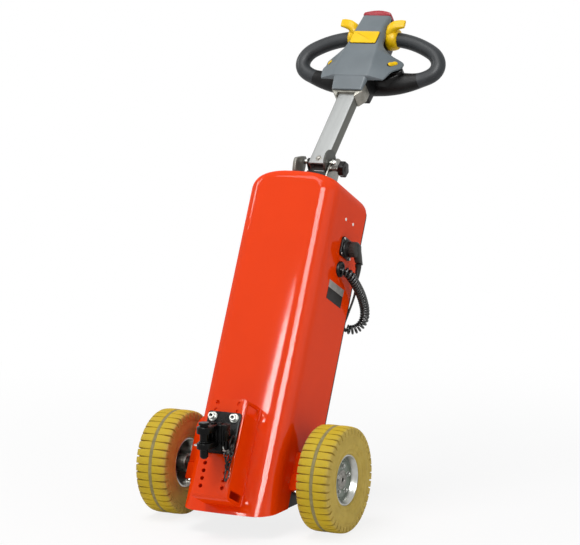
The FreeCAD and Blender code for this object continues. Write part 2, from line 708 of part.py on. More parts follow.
def make_rocker():
    """Speed rocker, half sunk in the steep rear face of the right wing."""
    block = box(-16, 16, -3, 3, -6.5, 6.5)
    along = V(0.293, 0.588, 0.754)
    outwards = V(0.634, -0.709, 0.307)
    turn = FreeCAD.Rotation(along, outwards * -1, outwards.cross(along), "XYZ")
    block.transformShape(FreeCAD.Placement(V(88, -5.4, 343), turn).toMatrix())
    return block


rocker = make_rocker().cut(cover).cut(housing)
add("speed_rockers", Part.makeCompound([rocker, mirror_x(rocker)]), ON_TILLER)


# ---- charging lead --------------------------------------------------------------------------
def body_points(rows):
    """Points given as (x, out, up) in the body frame."""
    return [V(x, -out, up) for x, out, up in rows]


def lead_path(points, label):
    """Straight runs joined by tangent arcs, as large as the two runs beside each corner allow."""
    edges = []
    radii = []
    start = points[0]
    for index in range(1, len(points) - 1):
        corner = points[index]
        run_in = points[index - 1] - corner
        run_out = points[index + 1] - corner
        shorter = min(run_in.Length, run_out.Length)
        before = V(run_in).normalize()
        after = V(run_out).normalize()
        half_turn = (math.pi - before.getAngle(after)) / 2
        setback = 0.45 * shorter
        radius = setback / math.tan(half_turn)
        bisector = (before + after).normalize()
        middle = corner + bisector * (radius / math.cos(half_turn) - radius)
        arc_in = corner + before * setback
        arc_out = corner + after * setback
        edges.append(Part.LineSegment(start, arc_in).toShape())
        edges.append(Part.Arc(arc_in, middle, arc_out).toShape())
        start = arc_out
        radii.append(radius)
    edges.append(Part.LineSegment(start, points[-1]).toShape())
    print(label, "arc radii", " ".join("%.0f" % r for r in radii))
    return Part.Wire(edges)


def round_lead(points, radius, label):
    path = lead_path(points, label)
    ring = Part.Wire(Part.makeCircle(radius, points[0], path.Edges[0].tangentAt(0)))
    tube = path.makePipeShell([ring], True, False)
    ratio = tube.Volume / (math.pi * radius ** 2 * path.Length)
    print(label, "length %.0f" % path.Length, "volume ratio %.4f" % ratio)
    return tube


COIL_ROUTE = [(129, -3, 527), (143, -7, 524), (150, -25, 514), (152, -56, 504), (151, -90, 493),
              (149, -115, 482), (146, -141, 468), (141, -159, 448), (133, -160, 429), (122, -153, 417),
              (110, -144, 413), (98, -141, 416)]
LEAD_ROUTE = [(98, -141, 416), (80, -138, 412), (61, -131, 403), (48, -125, 387), (48, -121, 366),
              (60, -118, 352), (78, -117, 350), (92, -118, 362), (98, -120, 382), (101, -121, 402),
              (105, -121, 421), (111, -117, 435), (118, -108, 449), (127, -98, 467), (132, -94, 486),
              (137, -84, 501), (147, -58, 525), (150, -52, 542)]


def make_flange():
    half = BODY_HALF
    pad = box(half, half + 6, -41, 19, 561, 611)
    rounded = pad.makeFillet(9, [e for e in pad.Edges if abs(e.Vertexes[0].X - e.Vertexes[1].X) > 1])
    return join([rounded, bar_x(20, half + 6, half + 17, PLUG_OUT, PLUG_UP)])


def make_plug():
    half = BODY_HALF
    nose = bar_x(18, half + 17, half + 34, PLUG_OUT, PLUG_UP)
    elbow = box(half + 17, half + 38, -56, PLUG_OUT, 562, 600)
    tail = Part.makeCone(8, 5, 20, V(150, 50, 562), V(0, 0.1, -1))
    return join([nose, elbow, tail])


plug = make_plug()
add("socket_flange", make_flange(), ON_BODY)
add("charge_plug", plug, ON_BODY)
add("lead_grommet", bar_x(20, BODY_HALF, BODY_HALF + 7.5, -3, 529), ON_BODY)
add("curly_cord", round_lead(body_points(COIL_ROUTE), COIL_R, "curly cord"), ON_BODY)
add("plug_lead", round_lead(body_points(LEAD_ROUTE), LEAD_R, "plug lead"), ON_BODY)
add("rating_plate", box(BODY_HALF, BODY_HALF + 1, -49.8, 38.7, 441, 489), ON_BODY)

os.makedirs("parts", exist_ok=True)
whole = Part.makeCompound(list(PARTS.values())).BoundBox
print("box %.1f %.1f" % (whole.XMin, whole.XMax), "%.1f %.1f" % (whole.YMin, whole.YMax),
      "%.1f %.1f" % (whole.ZMin, whole.ZMax))
for node, shape in PARTS.items():
    shape.exportStep("parts/%s.step" % node)
    print(node, "solids", len(shape.Solids), "valid", shape.isValid(), "cm3 %.1f" % (shape.Volume / 1000))
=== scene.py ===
"""Looks of a walk-behind electric tow tug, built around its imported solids.

Lengths are millimetres in a local frame of each sub-assembly (x across, "out" ahead of the
body or tiller, "up" along it) until a piece is finished; a Place turns them into the part's
frame in metres. Every class below builds one sub-assembly and dresses it in its finishes.
"""

import logging
import math
from dataclasses import dataclass
from enum import Enum
from typing import Callable, ClassVar, Iterable, Sequence

import bmesh
import bpy
from mathutils import Matrix, Vector

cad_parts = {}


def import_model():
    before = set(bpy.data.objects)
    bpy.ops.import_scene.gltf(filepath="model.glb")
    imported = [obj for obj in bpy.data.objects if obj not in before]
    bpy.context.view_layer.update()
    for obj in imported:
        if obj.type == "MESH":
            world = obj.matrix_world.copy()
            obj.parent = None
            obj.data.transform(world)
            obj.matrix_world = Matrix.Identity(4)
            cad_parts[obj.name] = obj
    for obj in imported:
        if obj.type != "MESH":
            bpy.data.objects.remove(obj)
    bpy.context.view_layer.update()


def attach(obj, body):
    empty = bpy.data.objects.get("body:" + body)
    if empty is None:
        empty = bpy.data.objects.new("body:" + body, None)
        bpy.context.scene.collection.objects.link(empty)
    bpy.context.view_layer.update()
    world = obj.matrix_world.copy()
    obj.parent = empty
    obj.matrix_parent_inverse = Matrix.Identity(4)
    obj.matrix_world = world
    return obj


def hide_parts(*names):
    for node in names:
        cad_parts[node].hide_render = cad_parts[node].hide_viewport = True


LOG = logging.getLogger("tow_tug")

AXLE_Y = -242.9
AXLE_Z = 130.0
BODY_LEAN = 25.4
TILLER_LEAN = 47.2
LOOP_TILT = 21.5
HINGE_OUT = -18.0
HINGE_UP = 814.0
TRACK = 440.0

# Range of a noise texture's values over which colour and gloss change.
NOISE_RANGE = {"From_Min": 0.3, "From_Max": 0.7}
# Size of the patches of grime, as a share of the size of the mottle.
GRIME_SCALE = 0.35
# Edges that turn by more than this are sharp, and are rounded.
SHARP_DEGREES = 25
# Bands and gaps of a wave texture of scale 1, per metre, roughly.
BANDS_PER_METRE = 6.3

Tree = bpy.types.NodeTree
Node = bpy.types.Node
Socket = bpy.types.NodeSocket
Object = bpy.types.Object
Outline = Sequence[tuple[float, float]]
Route = Sequence[tuple[float, float, float]]

ACROSS = Vector((1, 0, 0))
UPRIGHT = Vector((0, 0, 1))
ORIGIN = Vector()


def at(x: float, out: float, up: float) -> Vector:
    """Point of a local frame, whose Y axis points opposite to "out"."""
    return Vector((x, -out, up))


def angles(count: int) -> list[float]:
    """Equally spaced angles of one full turn."""
    return [2 * math.pi * step / count for step in range(count)]


def rectangle(half: float, low: float, high: float) -> list[tuple[float, float]]:
    """Corners of a rectangle that is centred across."""
    return [(-half, low), (half, low), (half, high), (-half, high)]


def facing(outline: Outline, out: float) -> list[Vector]:
    """Points of an (x, up) outline that stands square to "out"."""
    return [at(x, out, up) for x, up in outline]


def edgeways(outline: Outline, x: float) -> list[Vector]:
    """Points of an (out, up) outline that stands square to the axle."""
    return [at(x, out, up) for out, up in outline]


def level_ring(outline: Outline, up: float) -> list[Vector]:
    """Points of an (x, out) outline that lies square to "up"."""
    return [at(x, out, up) for x, out in outline]


def arc(first: int, last: int, step: int) -> list[float]:
    """Angles in radians from one to another, both given in degrees."""
    return [math.radians(degrees) for degrees in range(first, last + 1, step)]


def both_halves(half: Outline) -> list[tuple[float, float]]:
    """Outline from its right half, whose first point lies on the middle line."""
    return [(-x, radius) for x, radius in reversed(half[1:])] + list(half)


def frame_matrix(lean: float, origin: Vector) -> Matrix:
    """Matrix from a leaning local frame in millimetres to the part's frame in metres.

    Args:
        lean: degrees by which the frame leans back from upright.
        origin: the frame's origin in the part's frame, in millimetres.

    Returns:
        The 4 x 4 matrix.
    """
    turn = Matrix.Rotation(math.radians(-lean), 4, "X")
    return Matrix.Scale(0.001, 4) @ Matrix.Translation(origin) @ turn


BODY_MATRIX = frame_matrix(BODY_LEAN, Vector((0.0, AXLE_Y, AXLE_Z)))
HINGE = 1000 * (BODY_MATRIX @ at(0, HINGE_OUT, HINGE_UP))
TILLER_MATRIX = frame_matrix(TILLER_LEAN, HINGE)
LOOP_MATRIX = TILLER_MATRIX @ Matrix.Translation(at(0, -37.0, 362.0)) @ Matrix.Rotation(
    math.radians(LOOP_TILT), 4, "X")


class Place(Enum):
    """Local frames in which pieces are drawn."""

    FLOOR = "floor"
    AXLE = "axle"
    BODY = "body"
    TILLER = "tiller"
    LOOP = "loop"

    @property
    def matrix(self) -> Matrix:
        """Matrix into the part's frame, in metres."""
        return {
            Place.FLOOR: Matrix.Scale(0.001, 4),
            Place.AXLE: frame_matrix(0.0, Vector((0.0, AXLE_Y, AXLE_Z))),
            Place.BODY: BODY_MATRIX,
            Place.TILLER: TILLER_MATRIX,
            Place.LOOP: LOOP_MATRIX,
        }[self]


class Side(Enum):
    """The two sides of the part, by the sign of their X."""

    RIGHT = 1
    LEFT = -1

    @property
    def word(self) -> str:
        """The side's name, as nodes and pieces carry it."""
        return self.name.lower()


# ---- colours and finishes ------------------------------------------------------------------
def linear(hex_colour: str) -> tuple[float, float, float, float]:
    """Turn an sRGB hex colour into linear values.

    Args:
        hex_colour: six hex digits with a leading "#".

    Returns:
        Linear red, green and blue, and 1.
    """
    channels = []
    for start in (1, 3, 5):
        value = int(hex_colour[start:start + 2], 16) / 255
        channels.append(value / 12.92 if value <= 0.04045 else ((value + 0.055) / 1.055) ** 2.4)
    return (*channels, 1.0)


def node(tree: Tree, kind: str, inputs: dict | None = None,
         **settings: object) -> Node:
    """Add a node with its settings and links.

    Args:
        tree: the material's node tree.
        kind: the node's type name after "ShaderNode".
        inputs: input name or index, with the socket that feeds it or its plain value.
        settings: properties of the node, or values of inputs whose names have "_" for blanks.

    Returns:
        The new node.
    """
    made = tree.nodes.new("ShaderNode" + kind)
    for name, value in settings.items():
        if hasattr(made, name):
            setattr(made, name, value)
        else:
            made.inputs[name.replace("_", " ")].default_value = value
    for name, value in (inputs or {}).items():
        if isinstance(value, Socket):
            tree.links.new(value, made.inputs[name])
        else:
            made.inputs[name].default_value = value
    return made


@dataclass(frozen=True)
class Finish:
    """A surface finish: colours, gloss and two scales of relief.

    Fields are in millimetres where they are lengths. Mottle is the slow change of colour
    over the surface, grain the fine relief, ripple a slow relief such as orange peel.
    """

    name: str
    light: str
    dark: str
    mottle_size: float = 60.0
    metallic: float = 0.0
    roughness: float = 0.45
    roughness_spread: float = 0.08
    grain_size: float = 0.9
    grain_height: float = 0.02
    ripple_size: float = 9.0
    ripple_height: float = 0.0
    coat: float = 0.0
    coat_roughness: float = 0.04
    ior: float = 1.5
    specular: float = 0.5
    coat_ior: float = 1.5
    stretch: tuple[float, float, float] = (1.0, 1.0, 1.0)
    lean: float = 0.0
    grime: str = ""
    grime_share: float = 0.0

    def material(self) -> bpy.types.Material:
        """Build the finish as a material, once, and return it."""
        known = bpy.data.materials.get(self.name)
        if known:
            return known
        made = bpy.data.materials.new(self.name)
        made.use_nodes = True
        tree = made.node_tree
        shader = tree.nodes["Principled BSDF"]
        place = self.coordinates(tree)
        slow = node(tree, "TexNoise", {"Vector": place}, Scale=1000 / self.mottle_size, Detail=3.0)
        share = node(tree, "MapRange", {"Value": slow.outputs["Fac"]}, **NOISE_RANGE)
        colour = node(tree, "Mix", {"Factor": share.outputs["Result"], 6: linear(self.dark),
                                    7: linear(self.light)},
                      data_type="RGBA").outputs[2]
        colour = self.soiled(tree, place, colour)
        tree.links.new(self.tinted(tree, place, colour), shader.inputs["Base Color"])
        fine = node(tree, "TexNoise", {"Vector": place}, Scale=1000 / self.grain_size, Detail=2.0)
        gloss = node(tree, "MapRange", {"Value": slow.outputs["Fac"]}, **NOISE_RANGE,
                     To_Min=self.roughness - self.roughness_spread,
                     To_Max=self.roughness + self.roughness_spread)
        tree.links.new(gloss.outputs["Result"], shader.inputs["Roughness"])
        relief = node(tree, "Bump", {"Height": fine.outputs["Fac"]}, Strength=1.0,
                      Distance=self.grain_height / 1000)
        if self.ripple_height:
            swell = node(tree, "TexNoise", {"Vector": place}, Scale=1000 / self.ripple_size, Detail=1.0)
            relief = node(tree, "Bump", {"Height": swell.outputs["Fac"], "Normal": relief.outputs["Normal"]},
                          Strength=1.0, Distance=self.ripple_height / 1000)
        relief = self.relief(tree, place, relief)
        tree.links.new(relief.outputs["Normal"], shader.inputs["Normal"])
        shader.inputs["Metallic"].default_value = self.metallic
        if not self.metallic:
            shader.inputs["IOR"].default_value = self.ior
        shader.inputs["Coat Weight"].default_value = self.coat
        shader.inputs["Coat Roughness"].default_value = self.coat_roughness
        shader.inputs["Coat IOR"].default_value = self.coat_ior
        shader.inputs["Specular IOR Level"].default_value = self.specular
        return made

    def coordinates(self, tree: Tree) -> Socket:
        """Object coordinates in metres, turned with the lean and stretched along its axes."""
        where = node(tree, "TexCoord").outputs["Object"]
        turned = node(tree, "Mapping", {"Vector": where}, Rotation=(math.radians(self.lean), 0.0, 0.0))
        return node(tree, "Mapping", {"Vector": turned.outputs["Vector"]},
                    Scale=self.stretch).outputs["Vector"]

    def soiled(self, tree: Tree, place: Socket, colour: Socket) -> Socket:
        """Blend patches of grime over the colour, where the finish has any."""
        if not self.grime:
            return colour
        patches = node(tree, "TexNoise", {"Vector": place}, Scale=1000 / (GRIME_SCALE * self.mottle_size),
                       Detail=5.0)
        share = node(tree, "MapRange", {"Value": patches.outputs["Fac"]}, From_Min=0.5, From_Max=0.75,
                     To_Min=0.0, To_Max=self.grime_share)
        return node(tree, "Mix", {"Factor": share.outputs["Result"], 6: colour, 7: linear(self.grime)},
                    data_type="RGBA").outputs[2]

    def tinted(self, tree: Tree, place: Socket, colour: Socket) -> Socket:
        """Hook for a finish that adds its own colour pattern."""
        return colour

    def relief(self, tree: Tree, place: Socket, bump: Node) -> Node:
        """Hook for a finish that adds its own relief."""
        return bump


# ---- shaping -------------------------------------------------------------------------------
def linked(name: str, data: bpy.types.ID) -> Object:
    """New object at the scene's origin."""
    made = bpy.data.objects.new(name, data)
    bpy.context.scene.collection.objects.link(made)
    return made


def evaluated(made: Object) -> bpy.types.Mesh:
    """Mesh of an object as its modifiers or its curve leave it."""
    return bpy.data.meshes.new_from_object(made.evaluated_get(bpy.context.evaluated_depsgraph_get()))


def discard(made: Object, mesh: bpy.types.Mesh) -> None:
    """Remove a helper object and a mesh."""
    bpy.data.objects.remove(made)
    bpy.data.meshes.remove(mesh)


def is_sharp(edge: bmesh.types.BMEdge) -> bool:
    """Whether the two faces of an edge turn away from each other clearly."""
    return len(edge.link_faces) == 2 and edge.calc_face_angle(0.0) > math.radians(SHARP_DEGREES)


class Form:
    """A mesh in the making, in millimetres of a local frame, shaped by bmesh operators."""

    def __init__(self) -> None:
        """Start with an empty mesh."""
        self.bm = bmesh.new()

    def bevel(self, edges: Iterable, width: float, segments: int, clamped: bool = False) -> "Form":
        """Round the given edges, and keep neighbours from crossing where it is clamped."""
        bmesh.ops.bevel(self.bm, geom=list(edges), offset=width, segments=segments, profile=0.5,
                        affect="EDGES", material=-1, clamp_overlap=clamped)
        return self

    def soften(self, width: float, segments: int, verts: Sequence | None = None,
               only: Callable | None = None) -> "Form":
        """Round the edges of some vertices that pass a test.

        Args:
            width: bevel width.
            segments: faces across the bevel.
            verts: the vertices, or all of the form's when it is None.
            only: test of an edge; sharp edges pass when it is None.

        Returns:
            The form itself.
        """
        edges = {e for v in (verts or self.bm.verts) for e in v.link_edges}
        return self.bevel([e for e in edges if (only or is_sharp)(e)], width, segments, True)

    def block(self, low: Vector, high: Vector, bevel: float = 0.0, segments: int = 2) -> "Form":
        """Add a box between two corners, with rounded edges.

        Args:
            low: one corner.
            high: the opposite corner.
            bevel: edge rounding, or 0.
            segments: faces across the rounding.

        Returns:
            The form itself.
        """
        size = high - low
        made = bmesh.ops.create_cube(self.bm, size=1.0)["verts"]
        bmesh.ops.scale(self.bm, vec=[abs(c) for c in size], verts=made)
        bmesh.ops.translate(self.bm, vec=(low + high) / 2, verts=made)
        if bevel:
            self.soften(bevel, segments, made)
        return self

    def bar(self, start: Vector, end: Vector, radius: float, end_radius: float | None = None,
            sides: int = 32, bevel: float = 0.0) -> "Form":
        """Add a round or many-sided bar between two points.

        Args:
            start: middle of the first end.
            end: middle of the other end.
            radius: radius at the first end.
            end_radius: radius at the other end, or the same.
            sides: faces around it.
            bevel: rounding of its end edges.

        Returns:
            The form itself.
        """
        run = end - start
        made = bmesh.ops.create_cone(self.bm, cap_ends=True, segments=sides, radius1=radius,
                                     radius2=radius if end_radius is None else end_radius,
                                     depth=run.length)["verts"]
        turn = run.to_track_quat("Z", "Y").to_matrix()
        bmesh.ops.rotate(self.bm, cent=(0, 0, 0), matrix=turn, verts=made)
        bmesh.ops.translate(self.bm, vec=(start + end) / 2, verts=made)
        if bevel:
            ends = [f for v in made for f in v.link_faces if len(f.verts) == sides]
            rim = {e for f in ends for e in f.edges}
            self.soften(bevel, 2, made, lambda e: e in rim)
        return self

    def stack(self, foot: Vector, axis: Vector, rows: Sequence[Sequence[float]]) -> "Form":
        """Add bars on one axis, such as a bolt with its washer and head.

        Args:
            foot: a point of the axis.
            axis: its direction.
            rows: start and end along the axis, radius, faces around and rounding of each bar.

        Returns:
            The form itself.
        """
        for start, end, radius, sides, bevel in rows:
            self.bar(foot + axis * start, foot + axis * end, radius, sides=sides, bevel=bevel)
        return self

    def ball(self, centre: Vector, radius: float, squash: tuple[float, float, float] = (1, 1, 1),
             sides: int = 24) -> "Form":
        """Add a ball, squashed along the axes."""
        made = bmesh.ops.create_uvsphere(self.bm, u_segments=sides, v_segments=sides // 2,
                                         radius=radius)["verts"]
        bmesh.ops.scale(self.bm, vec=squash, verts=made)
        bmesh.ops.translate(self.bm, vec=centre, verts=made)
        return self

    def turned(self, centre: Vector, axis: Vector, outline: Outline, sides: int = 48) -> "Form":
        """Spin an open or closed outline of (along, radius) points about an axis.

        Args:
            centre: a point of the axis, from which "along" is measured.
            axis: direction of the axis.
            outline: the outline's points; the first and last may touch the axis.
            sides: steps around.

        Returns:
            The form itself.
        """
        away = axis.orthogonal().normalized()
        verts = [self.bm.verts.new(centre + axis * along + away * radius) for along, radius in outline]
        edges = [self.bm.edges.new(pair) for pair in zip(verts, verts[1:])]
        bmesh.ops.spin(self.bm, geom=verts + edges, cent=centre, axis=axis, angle=2 * math.pi, steps=sides,
                       use_merge=True, use_duplicate=False)
        bmesh.ops.remove_doubles(self.bm, verts=self.bm.verts, dist=0.002)
        return self

    def push(self, faces: Sequence, run: Vector) -> list[bmesh.types.BMVert]:
        """Push faces along a run, and return the vertices that moved."""
        pushed = bmesh.ops.extrude_face_region(self.bm, geom=faces)["geom"]
        moved = [g for g in pushed if isinstance(g, bmesh.types.BMVert)]
        bmesh.ops.translate(self.bm, vec=run, verts=moved)
        return moved

    def prism(self, outline: Sequence[Vector], run: Vector, bevel: float = 0.0, segments: int = 2) -> "Form":
        """Add a prism: a flat outline pushed along a run.

        Args:
            outline: corners of the flat outline, in order.
            run: the push.
            bevel: rounding of its sharp edges.
            segments: faces across the rounding.

        Returns:
            The form itself.
        """
        verts = [self.bm.verts.new(point) for point in outline]
        face = self.bm.faces.new(verts)
        moved = self.push([face], run)
        if bevel:
            self.soften(bevel, segments, verts + moved)
        return self

    def loft(self, rings: Sequence[Sequence[Vector]], closed: bool = False) -> "Form":
        """Bridge a row of rings that have the same number of points.

        Args:
            rings: closed rings of points.
            closed: whether the last ring is bridged to the first; both ends are filled otherwise.

        Returns:
            The form itself.
        """
        loops = []
        for ring in rings:
            verts = [self.bm.verts.new(point) for point in ring]
            loops.append([self.bm.edges.new((verts[i - 1], verts[i])) for i in range(len(verts))])
        pairs = list(zip(loops, loops[1:])) + ([(loops[-1], loops[0])] if closed else [])
        for first, second in pairs:
            bmesh.ops.bridge_loops(self.bm, edges=first + second)
        if not closed:
            for loop in (loops[0], loops[-1]):
                bmesh.ops.contextual_create(self.bm, geom=loop)
        return self

    def tube(self, path: Sequence[Vector], radius: float | Sequence[float], sides: int = 16,
             flat: Sequence[float] | None = None) -> "Form":
        """Sweep a round section along a path by lofting rings square to it.

        Args:
            path: points of the middle line.
            radius: one radius, or one for each point; half the depth along Y where "flat" is given.
            sides: points around.
            flat: second half-width for each point, across the path and square to Y.

        Returns:
            The form itself.
        """
        radii = list(radius) if isinstance(radius, Sequence) else [radius] * len(path)
        rings = []
        start = (path[1] - path[0]).normalized()
        normal = start.orthogonal().normalized() if abs(start.y) > 0.9 else Vector((0, 1, 0))
        for index, point in enumerate(path):
            ahead = path[min(index + 1, len(path) - 1)] - path[max(index - 1, 0)]
            ahead.normalize()
            normal = (normal - ahead * normal.dot(ahead)).normalized()
            other = ahead.cross(normal)
            wide = flat[index] if flat else radii[index]
            rings.append([point + normal * radii[index] * math.cos(a) + other * wide * math.sin(a)
                          for a in angles(sides)])
        return self.loft(rings)

    def add(self, other: "Form", matrix: Matrix | None = None) -> "Form":
        """Take in another form, moved by a matrix."""
        mesh = bpy.data.meshes.new("taken")
        other.bm.to_mesh(mesh)
        if matrix:
            mesh.transform(matrix)
            if matrix.determinant() < 0:
                mesh.flip_normals()
        self.bm.from_mesh(mesh)
        bpy.data.meshes.remove(mesh)
        return self

    def mirrored(self) -> "Form":
        """Copy of the form mirrored across the part's middle plane."""
        return Form().add(self, Matrix.Scale(-1, 4, ACROSS))

    def on(self, side: Side) -> "Form":
        """The form as drawn for the right side, or its mirror image for the left."""
        return self if side is Side.RIGHT else self.mirrored()

    def cut(self, tool: "Form") -> "Form":
        """Take another form away from this one with an exact boolean."""
        bodies = []
        for shape in (self, tool):
            bmesh.ops.recalc_face_normals(shape.bm, faces=shape.bm.faces)
            mesh = bpy.data.meshes.new("cutting")
            shape.bm.to_mesh(mesh)
            bodies.append(linked("cutting", mesh))
        trim = bodies[0].modifiers.new("cut", "BOOLEAN")
        trim.operation, trim.solver, trim.object = "DIFFERENCE", "EXACT", bodies[1]
        result = evaluated(bodies[0])
        self.bm.clear()
        self.bm.from_mesh(result)
        bpy.data.meshes.remove(result)
        for body in bodies:
            discard(body, body.data)
        return self


@dataclass
class SubAssembly:
    """Pieces that are drawn in one place and ride on one body, unless a piece says otherwise."""

    place: ClassVar[Place] = Place.BODY
    body: ClassVar[str] = "chassis"

    def piece(self, name: str, form: Form, finish: Finish, slot: str, *replaced: str,
              place: Place | None = None, body: str = "", sharp_above: float = 32.0) -> Object:
        """Turn a form into an object that rides on its body, and report it.

        Args:
            name: the piece's name.
            form: its shape, which is used up.
            finish: its finish.
            slot: its material slot in the part's record; not used.
            replaced: the solids it stands for.
            place: the frame it is drawn in, or the sub-assembly's.
            body: the body it rides on, or the sub-assembly's.
            sharp_above: angle in degrees above which an edge is shaded sharp.

        Returns:
            The piece's object.
        """
        bm = form.bm
        bmesh.ops.transform(bm, matrix=(place or self.place).matrix, verts=bm.verts)
        bmesh.ops.remove_doubles(bm, verts=bm.verts, dist=1e-6)
        bmesh.ops.recalc_face_normals(bm, faces=bm.faces)
        mesh = bpy.data.meshes.new(name)
        bm.to_mesh(mesh)
        bm.free()
        mesh.shade_smooth()
        mesh.set_sharp_from_angle(angle=math.radians(sharp_above))
        mesh.materials.append(finish.material())
        made = linked(name, mesh)
        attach(made, body or self.body)
        if replaced:
            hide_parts(*replaced)
        LOG.info("%s: %d faces in %s", name, len(mesh.polygons), finish.name)
        return made


# ---- stage ---------------------------------------------------------------------------------
@dataclass(frozen=True)
class Softbox:
    """A rectangular studio lamp that looks at the part; one for gloss only adds its streak to the paint."""

    name: str
    azimuth: float
    elevation: float
    distance: float
    width: float
    height: float
    watts: float
    for_gloss: bool = False

    def build(self, target: Vector) -> None:
        """Make the lamp, facing a target in metres."""
        lamp = bpy.data.lights.new(self.name, "AREA")
        lamp.shape, lamp.size, lamp.size_y = "RECTANGLE", self.width, self.height
        lamp.energy = self.watts
        az, el = math.radians(self.azimuth), math.radians(self.elevation)
        away = Vector((math.sin(az) * math.cos(el), -math.cos(az) * math.cos(el), math.sin(el)))
        made = linked(self.name, lamp)
        made.location = target + away * self.distance
        made.rotation_euler = (-away).to_track_quat("-Z", "Y").to_euler()
        made.visible_diffuse = not self.for_gloss


@dataclass
class Studio:
    """Camera, lamps, pale world and floor."""

    camera_at: tuple[float, float, float] = (2.7276, -5.4262, 1.4392)
    camera_to: tuple[float, float, float] = (0.02373, -0.0929, 0.60207)
    lens: float = 151.09
    floor_size: float = 60.0
    floor_glow: tuple[float, float] = (0.82, 1.0)
    glow_radii: tuple[float, float] = (0.5, 2.2)
    world_light: float = 0.44
    lamp_target: tuple[float, float, float] = (0.08, -0.2, 0.45)
    boxes: tuple[Softbox, ...] = (
        Softbox("strip_left", -27.0, 30.4, 5.5, 0.18, 1.31, 28.5, True),
        Softbox("strip_left_dim", -27.0, 38.1, 5.5, 0.18, 0.17, 1.8, True),
        Softbox("strip_right", 19.5, 33.0, 5.5, 3.0, 0.95, 270.0, True),
        Softbox("strip_right_dim", 21.0, 45.0, 5.5, 2.5, 1.35, 220.0, True),
        Softbox("strip_edge", -85.0, 32.5, 5.5, 0.77, 1.45, 75.0, True),
        Softbox("key", -30.0, 70.0, 4.5, 2.6, 2.6, 133.0),
        Softbox("right_fill", 85.0, 20.0, 5.5, 4.0, 4.0, 35.0),
    )

    def camera(self) -> None:
        """Put the camera where the part is seen from its front right."""
        data = bpy.data.cameras.new("camera")
        data.lens, data.sensor_width, data.sensor_fit = self.lens, 36.0, "HORIZONTAL"
        data.clip_end = 200.0
        made = linked("camera", data)
        made.location = self.camera_at
        ahead = Vector(self.camera_to) - Vector(self.camera_at)
        made.rotation_euler = ahead.to_track_quat("-Z", "Y").to_euler()
        bpy.context.scene.camera = made

    def background_share(self, tree: Tree) -> Socket:
        """Socket that is 1 for camera, glossy and transmission rays."""
        path = node(tree, "LightPath")
        seen = node(tree, "Math", {0: path.outputs["Is Camera Ray"], 1: path.outputs["Is Glossy Ray"]},
                    operation="MAXIMUM")
        both = node(tree, "Math", {0: seen.outputs[0], 1: path.outputs["Is Transmission Ray"]},
                    operation="MAXIMUM")
        return both.outputs[0]

    def world(self) -> None:
        """Pale world: white where it is seen, and a dimmer even light on the part."""
        world = bpy.data.worlds.new("studio")
        world.use_nodes = True
        tree = world.node_tree
        lit = tree.nodes["Background"]
        lit.inputs["Color"].default_value = linear("#FFFFFF")
        lit.inputs["Strength"].default_value = self.world_light
        seen = node(tree, "Background", Color=linear("#FFFFFF"), Strength=1.0)
        mix = node(tree, "MixShader", {0: self.background_share(tree), 1: lit.outputs[0], 2: seen.outputs[0]})
        tree.links.new(mix.outputs[0], tree.nodes["World Output"].inputs["Surface"])
        bpy.context.scene.world = world

    def floor(self) -> None:
        """Pale matt floor that keeps a soft shadow of the part."""
        form = Form()
        bmesh.ops.create_grid(form.bm, x_segments=1, y_segments=1, size=self.floor_size / 2)
        mesh = bpy.data.meshes.new("floor")
        form.bm.to_mesh(mesh)
        finish = bpy.data.materials.new("matt white studio paper")
        finish.use_nodes = True
        tree = finish.node_tree
        paper = tree.nodes["Principled BSDF"]
        paper.inputs["Base Color"].default_value = linear("#F4F4F4")
        paper.inputs["Roughness"].default_value = 0.9
        paper.inputs["Specular IOR Level"].default_value = 0.0
        glow = node(tree, "Emission", Color=linear("#FFFFFF"), Strength=1.0)
        where = node(tree, "TexCoord").outputs["Object"]
        radius = node(tree, "VectorMath", {0: where}, operation="LENGTH").outputs["Value"]
        glowing = node(tree, "MapRange", {"Value": radius}, interpolation_type="SMOOTHSTEP",
                       From_Min=self.glow_radii[0], From_Max=self.glow_radii[1],
                       To_Min=self.floor_glow[0], To_Max=self.floor_glow[1])
        share = node(tree, "Math", {0: self.background_share(tree), 1: glowing.outputs["Result"]},
                     operation="MULTIPLY")
        mix = node(tree, "MixShader", {0: share.outputs[0], 1: paper.outputs[0], 2: glow.outputs[0]})
        tree.links.new(mix.outputs[0], tree.nodes["Material Output"].inputs["Surface"])
        mesh.materials.append(finish)
        linked("floor", mesh)

    def build(self) -> None:
        """Set up the whole studio."""
        bpy.context.scene.view_settings.view_transform = "Standard"
        self.camera()
        self.world()
        self.floor()
        for box in self.boxes:
            box.build(Vector(self.lamp_target))


